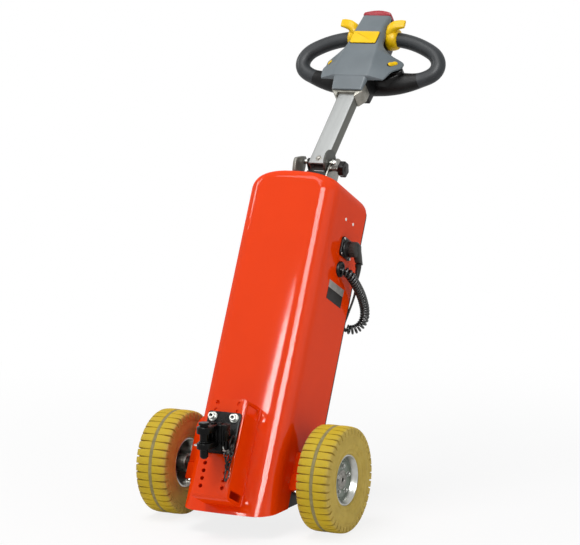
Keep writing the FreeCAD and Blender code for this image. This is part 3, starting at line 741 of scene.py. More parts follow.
# ---- charging cord -------------------------------------------------------------------------
@dataclass
class ChargingCord:
    """Curly charging lead: a helix from the grommet, then its straight end up to the plug."""

    coil_route: Route = (
        (129, -3, 527), (143, -7, 524), (150, -25, 514), (152, -56, 504), (151, -90, 493),
        (149, -115, 482), (146, -141, 468), (141, -159, 448), (133, -160, 429), (122, -153, 417),
        (110, -144, 413), (98, -141, 416))
    lead_route: Route = (
        (98, -141, 416), (80, -138, 412), (61, -131, 403), (48, -125, 387), (48, -121, 366),
        (60, -118, 352), (78, -117, 350), (92, -118, 362), (98, -120, 382), (101, -121, 402),
        (105, -121, 421), (111, -117, 435), (118, -108, 449), (127, -98, 467), (132, -94, 486),
        (137, -84, 501), (147, -58, 525), (150, -52, 542))
    lead_radius: float = 3.0
    coil_radius: float = 9.7
    pitch: float = 8.4
    steps_per_turn: int = 14
    easing: tuple[float, float] = (4.5, 9.0)
    winding_lead: float = 1.6

    def spline(self, name: str, points: Sequence[Vector], bevel: float) -> Object:
        """Open NURBS curve through control points in metres.

        Args:
            name: the curve's name.
            points: control points in the part's frame.
            bevel: the cord's radius in metres, or 0 for a bare line.

        Returns:
            The curve's object.
        """
        curve = bpy.data.curves.new(name, "CURVE")
        curve.dimensions = "3D"
        curve.bevel_depth, curve.bevel_resolution = bevel, 3
        curve.resolution_u = 4
        line = curve.splines.new("NURBS")
        line.points.add(len(points) - 1)
        for slot, point in zip(line.points, points):
            slot.co = (*point, 1.0)
        line.order_u = 3
        line.use_endpoint_u = True
        return linked(name, curve)

    def line_of(self, route: Route) -> list[Vector]:
        """Points read along the NURBS line of a route, in metres."""
        points = [BODY_MATRIX @ at(*point) for point in route]
        guide = self.spline("guide", points, 0.0)
        guide.data.resolution_u = 24
        return self.read(guide)

    def read(self, guide: Object) -> list[Vector]:
        """Points along a bare curve, which is used up."""
        mesh = evaluated(guide)
        line = [v.co.copy() for v in mesh.vertices]
        discard(guide, mesh)
        return line

    def helix(self, line: Sequence[Vector]) -> list[Vector]:
        """Points of the helix round a middle line.

        Its radius eases in and out at its ends, and it winds up to full speed sooner than to full width.

        Args:
            line: points of the middle line, in metres.

        Returns:
            The helix's points, in metres.
        """
        lengths = [0.0]
        for first, second in zip(line, line[1:]):
            lengths.append(lengths[-1] + 1000 * (second - first).length)
        total = lengths[-1]
        count = round(total / self.pitch * self.steps_per_turn)
        normal = (line[1] - line[0]).orthogonal().normalized()
        turned, index, angle = [], 0, 0.0
        for step in range(count + 1):
            along = total * step / count
            while index < len(lengths) - 2 and lengths[index + 1] < along:
                index += 1
            part = (along - lengths[index]) / max(lengths[index + 1] - lengths[index], 1e-9)
            middle = line[index].lerp(line[index + 1], min(part, 1.0))
            ahead = (line[index + 1] - line[index]).normalized()
            normal = (normal - ahead * normal.dot(ahead)).normalized()
            grow = min(1.0, along / self.easing[0], (total - along) / self.easing[1])
            share = 0.5 - 0.5 * math.cos(math.pi * grow)
            angle += 2 * math.pi / self.steps_per_turn * min(1.0, self.winding_lead * share)
            reach = self.coil_radius * share / 1000
            turned.append(middle + (normal * math.cos(angle) + ahead.cross(normal) * math.sin(angle)) * reach)
        return turned

    def build(self, finish: Finish) -> Object:
        """Make the cord as one curve: its coil, then its straight lead.

        Args:
            finish: the cord's finish.

        Returns:
            The cord's object.
        """
        coil = self.helix(self.line_of(self.coil_route))
        lead = [BODY_MATRIX @ at(*point) for point in self.lead_route[1:]]
        cord = self.spline("charging_cord", coil + lead, self.lead_radius / 1000)
        cord.data.use_fill_caps = True
        cord.data.materials.append(finish.material())
        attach(cord, "chassis")
        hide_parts("curly_cord", "plug_lead")
        return cord

    def declare(self, cord: Object) -> None:
        """State the cord's real length."""
        length = self.measured(cord)
        LOG.info("charging cord: %.3f m", length)

    def measured(self, cord: Object) -> float:
        """Length of the cord's own line, in metres."""
        points = [Vector(p.co[:3]) for p in cord.data.splines[0].points]
        line = self.read(self.spline("bare", points, 0.0))
        return sum((b - a).length for a, b in zip(line, line[1:]))


# ---- wheels --------------------------------------------------------------------------------
@dataclass(frozen=True)
class TyreRubber(Finish):
    """Non-marking rubber, moulded: olive-yellow and dull, with dirt in patches; darker below the block tops
    and paler on them.
    """

    axle: tuple[float, float] = (AXLE_Y / 1000, AXLE_Z / 1000)
    groove_radius: float = 0.1258
    top_radius: float = 0.1296
    rib_width: float = 6.2
    top_colour: str = "#CBAE22"

    def tinted(self, tree: Tree, place: Socket, colour: Socket) -> Socket:
        """Darken the groove bottoms and brighten the block tops, by distance from the axle."""
        where = node(tree, "TexCoord").outputs["Object"]
        centred = node(tree, "Mapping", {"Vector": where}, Location=(0.0, -self.axle[0], -self.axle[1]),
                       Scale=(0.0, 1.0, 1.0))
        radius = node(tree, "VectorMath", {0: centred.outputs["Vector"]}, operation="LENGTH").outputs["Value"]
        top_edge_noise = node(tree, "TexNoise", {"Vector": place}, Scale=45.0, Detail=3.0)
        ragged = node(tree, "MapRange", {"Value": top_edge_noise.outputs["Fac"]}, To_Min=-0.0012, To_Max=0.0012)
        level = node(tree, "Math", {0: radius, 1: ragged.outputs["Result"]}, operation="ADD").outputs[0]
        top = node(tree, "MapRange", {"Value": level}, From_Min=self.groove_radius, From_Max=self.top_radius)
        return node(tree, "Mix", {"Factor": top.outputs["Result"], 6: colour, 7: linear(self.top_colour)},
                    data_type="RGBA").outputs[2]

    def relief(self, tree: Tree, place: Socket, bump: Node) -> Node:
        """Shallow ribs that run round the tread, with gaps as wide as the ribs between them."""
        where = node(tree, "TexCoord").outputs["Object"]
        bands = node(tree, "TexWave", {"Vector": where}, wave_type="BANDS", bands_direction="X",
                     Scale=1000 / self.rib_width / BANDS_PER_METRE, Distortion=0.0)
        return node(tree, "Bump", {"Height": bands.outputs["Fac"], "Normal": bump.outputs["Normal"]},
                    Strength=0.35, Distance=0.0006)


# Moulded rubber scatters light widely, so the tread stays dull; the block tops are coloured brighter than the
# rest.
TYRE = TyreRubber("olive tyre rubber", "#C4AB55", "#B59B45", mottle_size=30, roughness=0.72, specular=0.2,
                  grain_size=0.7, grain_height=0.05, grime="#86703A", grime_share=0.16)
# The mould's joint runs round the tread and holds dust: greyer and duller than the blocks.
TYRE_SEAM = Finish("dusty rubber at the mould joint", "#9E9468", "#877D52", mottle_size=9, roughness=0.8,
                   specular=0.1, grain_size=0.7, grain_height=0.06)
# Electroplated zinc: bright, even metal that mirrors the room softly.
ZINC = Finish("bright zinc plate", "#B7B8B4", "#A2A39E", mottle_size=24, metallic=1.0, roughness=0.3,
              roughness_spread=0.03, grain_size=0.6, grain_height=0.003)
# Sprayed enamel on pressed steel: some gloss on a slightly wavy coat, with road dirt in patches.
RIM_PAINT = Finish("grey-green wheel enamel", "#5B6758", "#4C5849", mottle_size=14, roughness=0.38,
                   ripple_size=5, ripple_height=0.02, coat=0.35, coat_roughness=0.12, grime="#4B4A3C",
                   grime_share=0.4)
# Bare turned steel: greyed metal with brown patches where it starts to rust.
TURNED_STEEL = Finish("turned steel", "#8F8D87", "#6F6D68", mottle_size=7, metallic=1.0, roughness=0.34,
                      grain_size=0.5, grain_height=0.01, grime="#3E2A1E", grime_share=0.35)
# Moulded black rubber: hardly any gloss, and greyed by dust.
CASTOR_RUBBER = Finish("black castor rubber", "#2B2B2B", "#1F1F1F", mottle_size=12, roughness=0.65,
                       grain_size=0.8, grain_height=0.04, grime="#56524A", grime_share=0.4)


@dataclass
class DriveWheel(SubAssembly):
    """Driven wheel: block-pattern tyre, pressed rim with its wheel bolts, hub and shaft."""

    place: ClassVar[Place] = Place.AXLE
    side: Side
    radius: float = 130.0
    pitches: int = 41
    groove: tuple[float, float] = (1.3, 5.2)
    band: float = 4.2
    shoulder: float = 38.0
    bolts: int = 5
    bolt_circle: float = 33.5
    bolt_phase: float = 0.18
    taper: float = 1.6

    def placed(self, form: Form) -> Form:
        """Move a form drawn round the origin, +X outwards, to this side's wheel."""
        sign = self.side.value
        return Form().add(form, Matrix.Translation((sign * TRACK / 2, 0, 0)) @ Matrix.Scale(sign, 4, ACROSS))

    def tread_block(self) -> Form:
        """One block: flat top, square shoulder, and gaps that widen from the middle out to the shoulder."""
        pitch = 2 * math.pi * self.radius / self.pitches
        outline = [(self.band, 123.5), (self.band, 129.2), (5, 129.8), (16, 130.0), (30, 129.5),
                   (37.5, 128.2), (40.6, 126.2), (42.1, 122.5), (42.5, 114), (42.0, 111.4), (40.6, 110.4),
                   (36, 118.0)]
        form = Form().prism([Vector((x, -pitch / 2, r)) for x, r in outline], Vector((0, pitch, 0)))
        for vert in form.bm.verts:
            share = min(max((vert.co.x - self.band) / (self.shoulder - self.band), 0.0), 1.0)
            gap = self.groove[0] + (self.groove[1] - self.groove[0]) * share ** self.taper
            vert.co.y *= (pitch - gap) / pitch
            vert.co.z = math.sqrt(vert.co.z ** 2 - vert.co.y ** 2)
        return form.soften(0.6, 2)

    def seam_band(self) -> Form:
        """Narrow smooth band between both rows of blocks."""
        half = [(0, 129.5), (self.band - 0.7, 129.5), (self.band, 128.9), (self.band + 0.4, 123.0)]
        return Form().turned(ORIGIN, ACROSS, both_halves(half), sides=120)

    def tyre(self) -> Form:
        """Carcass with ridged sidewalls, and both rows of blocks."""
        half = [(0, 125.4), (24, 125.0), (36, 121.8), (40.0, 116), (41.2, 112.2), (42.3, 111.4),
                (42.5, 109.8), (42.3, 107.6), (41.3, 106.4), (41.4, 104.5), (42.0, 98), (42.2, 91),
                (41.9, 87.0), (40.7, 85.8), (40.0, 81), (38.0, 76.6), (37.8, 74.8), (38.6, 73.4),
                (38.8, 71.6), (38.2, 68.6), (37.0, 66), (35, 63.4), (32.4, 62.3), (30.6, 61.9), (30.1, 60.2)]
        form = Form().turned(ORIGIN, ACROSS, both_halves(half), sides=120)
        block = self.tread_block()
        both = Form().add(block).add(block.mirrored())
        for angle in angles(self.pitches):
            form.add(both, Matrix.Rotation(angle, 4, "X"))
        return form

    def rim(self) -> Form:
        """Pressed rim: rolled flanges, beads and a well."""
        outline = [(-34.4, 60.8), (-33.4, 62.4), (-31.6, 62.2), (-30.2, 59.9), (-24, 57.6), (-14, 54.2),
                   (8, 54.2), (14, 56.4), (24, 58.4), (30.2, 59.9), (31.6, 62.2), (33.4, 62.4), (34.4, 60.8),
                   (33.6, 58.6), (29.5, 56.8), (27.5, 55.2), (20.5, 53.0), (15.5, 51.6), (-12, 50.8),
                   (-22, 54.0), (-29.5, 56.8), (-33.6, 58.6), (-34.4, 60.8)]
        return Form().turned(ORIGIN, ACROSS, outline, sides=96)

    def disc(self) -> Form:
        """Recessed wheel disc with a swage ring and the bolt seats."""
        outline = [(19.6, 53.2), (19.4, 50.6), (17.2, 49.0), (16.8, 45.6), (18.2, 43.8), (20.0, 42.8),
                   (20.0, 24.1), (15.0, 24.1), (15.0, 43.0), (13.0, 45.6), (13.4, 50.0), (15.0, 52.4)]
        return Form().turned(ORIGIN, ACROSS, outline, sides=72)

    def wheel_bolts(self) -> Form:
        """Hexagon bolts with washers, on the bolt circle."""
        form = Form()
        for index in range(self.bolts):
            angle = 2 * math.pi * (index + self.bolt_phase) / self.bolts
            foot = Vector((0, self.bolt_circle * math.cos(angle), self.bolt_circle * math.sin(angle)))
            form.stack(foot, ACROSS, ((19.6, 21.0, 6.6, 24, 0.3), (21.0, 25.4, 5.2, 6, 0.5),
                                      (25.4, 27.0, 2.7, 16, 0.4)))
        return form

    def hub(self) -> Form:
        """Hub with its flange, cap and open middle, on the drive shaft."""
        outline = [(-110, 0), (-110, 10), (-46, 10), (-46, 13.5), (-39, 13.5), (-39, 21), (-37.5, 22.5),
                   (-31, 23.8), (20.4, 23.8), (21.2, 23.0), (21.2, 18.4), (21.8, 17.4), (22.6, 16.8),
                   (23, 15.8), (23, 10.4), (22.2, 9.9), (22.2, 8.9), (23, 8.4), (23, 5.9), (22.2, 5.2),
                   (12.5, 5.0), (12.5, 0)]
        return Form().turned(ORIGIN, ACROSS, outline, sides=48)

    def bore_shade_disc(self) -> Form:
        """Black disc at the bottom of the hub's open middle: painted shade in the hole."""
        return Form().bar(Vector((12.6, 0, 0)), Vector((14, 0, 0)), 5.1, sides=24)

    def build(self) -> None:
        """Make the wheel's pieces."""
        word = self.side.word
        body = f"wheel_{word}"
        self.piece(f"tyre_{word}_blocks", self.placed(self.tyre()), TYRE, "tyre_olive", f"tyre_{word}",
                   body=body)
        self.piece(f"tyre_{word}_seam", self.placed(self.seam_band()), TYRE_SEAM, "tyre_olive", body=body)
        self.piece(f"rim_{word}_pressed", self.placed(self.rim()), ZINC, "zinc", f"rim_{word}", body=body)
        self.piece(f"wheel_disc_{word}", self.placed(self.disc()), RIM_PAINT, "zinc", body=body)
        self.piece(f"wheel_bolts_{word}", self.placed(self.wheel_bolts()), ZINC, "zinc", body=body)
        self.piece(f"hub_{word}_turned", self.placed(self.hub()), TURNED_STEEL, "steel", f"hub_{word}",
                   body=body)
        # The black disc in the hub's open middle is painted shade.
        self.piece(f"hub_bore_{word}", self.placed(self.bore_shade_disc()), CASTOR_RUBBER, "steel", body=body)


# ---- body ----------------------------------------------------------------------------------
# Baked powder coat flows into a slow orange peel, so long reflections waver under a thin sharp glint.
RED_PAINT = Finish("vermilion powder coat", "#F14003", "#ED3E03", mottle_size=160, roughness=0.42,
                   roughness_spread=0.03, grain_size=2.2, grain_height=0.003, ripple_size=32,
                   ripple_height=0.12, coat=0.14, coat_roughness=0.06, specular=0.0, coat_ior=2.0)
# Baked powder coat in black: satin, with a small orange peel and dust that greys it in patches.
BLACK_PAINT = Finish("black powder coat", "#151515", "#0E0E0E", mottle_size=60, roughness=0.42, specular=0.16,
                     grain_size=1.1, grain_height=0.03, ripple_size=7, ripple_height=0.03, grime="#3C3A36",
                     grime_share=0.25)
# Injection-moulded nylon: a fine grain from the mould blurs its highlights.
BLACK_PLASTIC = Finish("black moulded nylon", "#141313", "#0C0B0B", mottle_size=20, roughness=0.4,
                       specular=0.2, grain_size=0.9, grain_height=0.03)
# Extruded sheath: smooth enough for a bright line along every turn.
CABLE = Finish("black cord sheath", "#1B1A19", "#100F0F", mottle_size=10, roughness=0.3, specular=0.6,
               grain_size=0.8, grain_height=0.02)
# Aluminium head, set cold: pale, with a soft metallic spot.
RIVET = Finish("pale aluminium rivet", "#E9E6E0", "#C9C5BD", mottle_size=3, metallic=0.6, roughness=0.35)
# Rolled and anodised foil: a weak metallic sheen without any texture to see.
PLATE_SILVER = Finish("silver anodised foil", "#A9A5A0", "#8F8B86", mottle_size=12, metallic=0.35,
                      roughness=0.42, grain_size=0.5, grain_height=0.008)
# Printed foil: flat and dark, with little gloss.
PLATE_BLACK = Finish("black printed foil", "#231F1D", "#1A1716", mottle_size=12, roughness=0.4, specular=0.15)


@dataclass
class Body(SubAssembly):
    """Leaning sheet-metal body: hood, back panel, axle brackets and their fasteners."""

    half: float = 121.5
    front: float = 119.3
    back: float = -92.6
    cover_back: float = -97.8
    top: float = 748.0
    corner: float = 46.0
    corner_at_top: float = 57.0
    crown_degrees: float = 3.0
    sheet: float = 2.5
    notch_out: float = 17.0
    notch_up: float = -43.0
    base_level: float = 56.0
    side_round: tuple[float, float] = (62.0, 48.0)
    front_round: float = 28.0
    back_round: float = 31.0

    @property
    def level(self) -> Vector:
        """The floor's upward direction, in the body's frame."""
        lean = math.radians(BODY_LEAN)
        return at(0, math.sin(lean), math.cos(lean))

    def underside(self, out: float) -> float:
        """Height at which the body's level underside lies, at one place ahead or behind."""
        lean = math.radians(BODY_LEAN)
        return (self.base_level - AXLE_Z - out * math.sin(lean)) / math.cos(lean)

    def section(self, half: float, front: float, back: float, corner: float, up: float) -> list[Vector]:
        """Plan outline of the hood at one height, closed at the back.

        The front bows out a little and runs on into its round corners without a break.

        Args:
            half: half the width.
            front: place of the front's middle.
            back: place of the back edge.
            corner: radius of the front corners.
            up: the height.

        Returns:
            Points from the back of the right side round the front to the back of the left side.
        """
        slope = math.radians(self.crown_degrees)
        end = half - corner + corner * math.sin(slope)
        bow = 0.5 * math.tan(slope) * end
        middle = at(half - corner, front - bow - corner * math.cos(slope), up)
        right = [at(half, back + (-middle.y - back) * t / 4, up) for t in range(4)]
        turn = []
        for step in range(17):
            angle = (math.radians(90) - slope) * step / 16
            turn.append(middle + at(corner * math.cos(angle), corner * math.sin(angle), 0))
        flat = [at(end * (1 - step / 8), front - bow * (1 - step / 8) ** 2, up) for step in range(1, 9)]
        quarter = right + turn + flat
        return quarter + [Vector((-p.x, p.y, p.z)) for p in reversed(quarter[:-1])]

    def dome(self) -> list[list[Vector]]:
        """Rings of the domed top, drawn in further and with rounder corners as they rise."""
        found = []
        width, depth = self.side_round
        for step in range(15):
            drop = depth * (1 - math.sin(math.radians(90 * step / 14)))
            side_in = width * (1 - math.sqrt(max(1 - (1 - drop / depth) ** 2, 0.0)))
            front_in, back_in = (r - math.sqrt(max(r * r - max(r - drop, 0.0) ** 2, 0.0))
                                 for r in (self.front_round, self.back_round))
            share = 1 - drop / depth
            corner = self.corner + (self.corner_at_top - self.corner) * share
            found.append(self.section(self.half - side_in, self.front - front_in, self.back + back_in, corner,
                                      self.top - drop))
        return found

    def hood(self) -> Form:
        """Pressed hood: a bent sheet pushed up, drawn in over the top, then cut level below."""
        form = Form()
        plain = [self.section(self.half, self.front, self.back, self.corner, up)
                 for up in (-230, -120, -20, 100, 250, 400, 550)]
        form.loft(plain + self.dome())
        bmesh.ops.recalc_face_normals(form.bm, faces=form.bm.faces)
        open_back = [f for f in form.bm.faces
                     if f.normal.z < -0.9 or (f.normal.y > 0.99 and f.calc_center_median().z < self.top - 60)]
        bmesh.ops.delete(form.bm, geom=open_back, context="FACES")
        self.trim(form)
        bmesh.ops.solidify(form.bm, geom=list(form.bm.faces), thickness=self.sheet)
        return form

    def trim(self, form: Form) -> None:
        """Cut the hood level with the floor below, and its sides away behind the axle."""
        level = self.level
        foot = level * (self.base_level - AXLE_Z)
        cuts = ((foot, level), (at(0, self.notch_out, 0), at(0, 1, 0)), (at(0, 0, self.notch_up), UPRIGHT))
        for where, normal in cuts:
            geometry = list(form.bm.verts) + list(form.bm.edges) + list(form.bm.faces)
            bmesh.ops.bisect_plane(form.bm, geom=geometry, plane_co=where, plane_no=normal, dist=0.001)
        spare = []
        for face in form.bm.faces:
            middle = face.calc_center_median()
            below = (middle - foot).dot(level) < 0
            notch = -middle.y < self.notch_out and middle.z < self.notch_up
            if below or notch:
                spare.append(face)
        bmesh.ops.delete(form.bm, geom=spare, context="FACES")

    def back_panel(self) -> Form:
        """Flat back panel with a folded rim and a swaged field."""
        half, lower = self.half, self.underside(self.cover_back)
        corners = [(half, lower), (half, 696), (half - 1.0, 706), (half - 4.5, 713)]
        corners += [(-x, up) for x, up in reversed(corners)]
        form = Form().prism(facing(corners, self.back), at(0, self.cover_back - self.back, 0))
        outer = max(form.bm.faces, key=lambda f: f.calc_center_median().y)
        for thickness, depth in ((16, 0.0), (3, -1.6)):
            bmesh.ops.inset_region(form.bm, faces=[outer], thickness=thickness, depth=depth,
                                   use_even_offset=True)
        return form.soften(0.8, 2)

    def bracket(self, side: Side) -> Form:
        """Upper axle bracket: clamp half, upright plate with a round corner, and a gusset."""
        form = Form()
        high, radius = (49.0, 12.0) if side is Side.RIGHT else (122.0, 36.0)
        reach = self.half + 45
        corner = [(reach - radius + radius * math.cos(a), high - radius + radius * math.sin(a))
                  for a in arc(0, 90, 9)]
        plate = [(self.half - 1, -3), (reach, -3)] + corner + [(self.half - 1, high)]
        form.prism(facing(plate, 22), at(0, 8, 0), bevel=1.2)
        form.block(at(self.half - 1, 22, -3), at(self.half + 39, -26, 26), bevel=2.0)
        rib = [at(self.half, 22, 26), at(self.half, 22, high - 8), at(self.half, -26, 26)]
        form.prism(rib, ACROSS * 6, bevel=1.0)
        form.block(at(self.half - 1, 27, high - 20), at(self.half + 3, 31.5, high - 3), bevel=1.6)
        return form.on(side)

    def bracket_low(self, side: Side) -> Form:
        """Lower half of the axle clamp."""
        low, high = at(self.half - 1, 34, -46), at(self.half + 45, -26, -4)
        return Form().block(low, high, bevel=2.4, segments=3).on(side)

    def bracket_bolts(self) -> Form:
        """Socket screws that close both axle clamps, from below."""
        form = Form()
        for x in (138, 156):
            for out in (27, -20):
                form.bar(at(x, out, -46.5), at(x, out, -50.5), 6.5, sides=24, bevel=0.8)
        return form.add(form.mirrored())

    def foot_bolts(self) -> Form:
        """Small bolt heads under the front of the tray."""
        form = Form()
        for x, out in ((-58, 92), (22, 92), (58, 40)):
            spot = at(x, out, self.underside(out))
            form.stack(spot, -self.level, ((0, 2, 6.2, 24, 0.4), (2, 7, 5.0, 6, 0.5)))
        return form

    def rivets(self) -> Form:
        """Two domed blind rivets in the right side."""
        form = Form()
        for out, up in ((15.8, 654), (-28.4, 656)):
            form.ball(at(self.half + 0.2, out, up), 4.2, (0.45, 1, 1), sides=20)
        return form

    def dimples(self) -> Form:
        """Row of small painted-over screw heads between the rivets."""
        form = Form()
        for step in range(1, 6):
            share = step / 6
            where = at(self.half + 0.1, 15.8 - 44.2 * share, 654 + 2 * share)
            form.ball(where, 1.5, (0.5, 1, 1), sides=12)
        return form

    def plate(self, low: float, high: float, lift: float) -> Form:
        """Blank foil on the right side, between two heights."""
        return Form().block(at(self.half - 0.2, -49.8, low), at(self.half + lift, 38.7, high), bevel=0.25,
                            segments=1)

    def build(self) -> None:
        """Make the body's pieces."""
        self.piece("hood", self.hood(), RED_PAINT, "red_paint", "shell", sharp_above=40.0)
        self.piece("rear_cover", self.back_panel(), BLACK_PAINT, "black_paint", "back_panel")
        for side in Side:
            word = side.word
            self.piece(f"bracket_plate_{word}", self.bracket(side), RED_PAINT, "red_paint",
                       f"axle_bracket_upper_{word}")
            self.piece(f"bracket_cap_{word}", self.bracket_low(side), RED_PAINT, "red_paint",
                       f"axle_bracket_lower_{word}")
        self.piece("bracket_screws", self.bracket_bolts(), ZINC, "zinc")
        self.piece("foot_bolts", self.foot_bolts(), ZINC, "zinc")
        self.piece("side_rivets", self.rivets(), RIVET, "zinc")
        self.piece("side_dimples", self.dimples(), RED_PAINT, "red_paint")
        self.piece("blank_plate_silver", self.plate(470.5, 489, 0.9), PLATE_SILVER, "plate")
        self.piece("blank_plate_black", self.plate(441, 470.3, 0.8), PLATE_BLACK, "plate", "rating_plate")


# ---- charging point ------------------------------------------------------------------------
# Injection-moulded plug: satin, and a shade paler than the housings.
PLUG_PLASTIC = Finish("dark grey plug moulding", "#393633", "#2C2A27", mottle_size=14, roughness=0.42,
                      specular=0.2, grain_size=0.7, grain_height=0.02)


@dataclass
class ChargingPoint(SubAssembly):
    """Charging socket with its flange, the angled plug, and the cord's grommet."""

    half: float = 121.5
    out: float = -12.0
    up: float = 585.0

    def flange(self) -> Form:
        """Square socket flange with round corners, four screws and a collar."""
        low, high = at(self.half, self.out - 29, self.up - 24), at(self.half + 6, self.out + 31, self.up + 26)
        form = Form().block(low, high)
        form.soften(10, 6, only=lambda e: abs(e.verts[0].co.x - e.verts[1].co.x) > 1)
        form.soften(1.4, 3)
        collar = [(0, 23.5), (7.4, 23.5), (9.0, 22.6), (10.5, 20.4), (17, 20.0), (17, 15), (0, 15)]
        form.turned(at(self.half, self.out, self.up), ACROSS, collar, sides=48)
        return form

    def screws(self) -> Form:
        """Screws in the flange's corners."""
        form = Form()
        for out in (self.out - 23, self.out + 25):
            for up in (self.up - 19, self.up + 20):
                form.bar(at(self.half + 5.8, out, up), at(self.half + 7.6, out, up), 3.4, sides=20, bevel=0.5)
        return form

    def plug(self) -> Form:
        """Angled plug: ribbed nose, flat elbow and a tapered strain relief."""
        nose = [(17.0, 16), (17.0, 18.2), (19, 19.0), (33, 19.0), (34.8, 17.6), (36.5, 14.5), (37.6, 8)]
        form = Form().turned(at(self.half, self.out, self.up), ACROSS, nose, sides=40)
        for angle in angles(18):
            rib = at(0, 18.6 * math.cos(angle), 18.6 * math.sin(angle))
            start = at(self.half + 19.5, self.out, self.up) + rib
            form.bar(start, start + ACROSS * 12.5, 1.2, sides=8, bevel=0.4)
        form.loft([self.elbow_ring(*row) for row in (
            (0, 13.5, self.up + 12), (-4, 15.0, self.up + 2), (-12, 16.0, self.up - 8),
            (-22, 14.5, self.up - 20), (-30, 11.0, self.up - 27))])
        relief = [at(149.4, -45, 558), at(149.8, -49, 549), at(150, -51.2, 540), at(150, -52, 528),
                  at(149.6, -53.2, 518)]
        form.tube(relief, [8.6, 7.4, 6.2, 5.0, 3.9], sides=20)
        for share in (0.3, 0.5, 0.7):
            middle = relief[1].lerp(relief[3], share)
            form.bar(middle + at(0, 0, 1.1), middle - at(0, 0, 1.1), 7.6 - 3 * share, sides=20, bevel=0.5)
        return form

    def elbow_ring(self, out: float, wide: float, up: float) -> list[Vector]:
        """Rounded ring of the elbow, square to "up"."""
        middle = at(self.half + 31, self.out + out, up)
        points = []
        for angle in angles(24):
            c, s = math.cos(angle), math.sin(angle)
            points.append(middle + at(8.5 * math.copysign(abs(c) ** 0.6, c),
                                      wide * math.copysign(abs(s) ** 0.6, s), 0))
        return points

    def grommet(self) -> Form:
        """Round grommet with a raised lip and a tapered sleeve inside the first turns."""
        outline = [(0, 20), (4.5, 20), (6.6, 18.8), (7.4, 16.5), (6.6, 13.5), (5.2, 12.2), (5.0, 0)]
        form = Form().turned(at(self.half, -3, 529), ACROSS, outline, sides=48)
        path = [at(126, -3, 527.4), at(130, -3.4, 527), at(137, -6, 525.6), at(145, -12, 521.8)]
        return form.tube(path, [6.5, 4.9, 4.3, 3.6], sides=20)

    def build(self) -> Object:
        """Make the charging point's pieces.

        Returns:
            The plug's object, which is on the cord.
        """
        self.piece("charging_socket", self.flange(), BLACK_PLASTIC, "black_plastic", "socket_flange")
        self.piece("socket_screws", self.screws(), ZINC, "zinc")
        self.piece("cord_grommet", self.grommet(), BLACK_PLASTIC, "black_plastic", "lead_grommet")
        return self.piece("charging_plug", self.plug(), PLUG_PLASTIC, "dark_plastic", "charge_plug")


# ---- hitch ---------------------------------------------------------------------------------
# Sand casting under thin paint: its coarse skin breaks the highlights into specks.
CAST_BLACK = Finish("black painted casting", "#060606", "#030303", mottle_size=18, roughness=0.3,
                    specular=0.12, roughness_spread=0.1, grain_size=1.2, grain_height=0.16, ripple_size=4,
                    ripple_height=0.3, grime="#1A1715", grime_share=0.2)
# Bent wire, blackened in heat: dark, with small hard glints on each link.
CHAIN_BLACK = Finish("blackened chain steel", "#0B0B0A", "#040404", mottle_size=6, roughness=0.25,
                     specular=0.3, grain_size=0.8, grain_height=0.03)


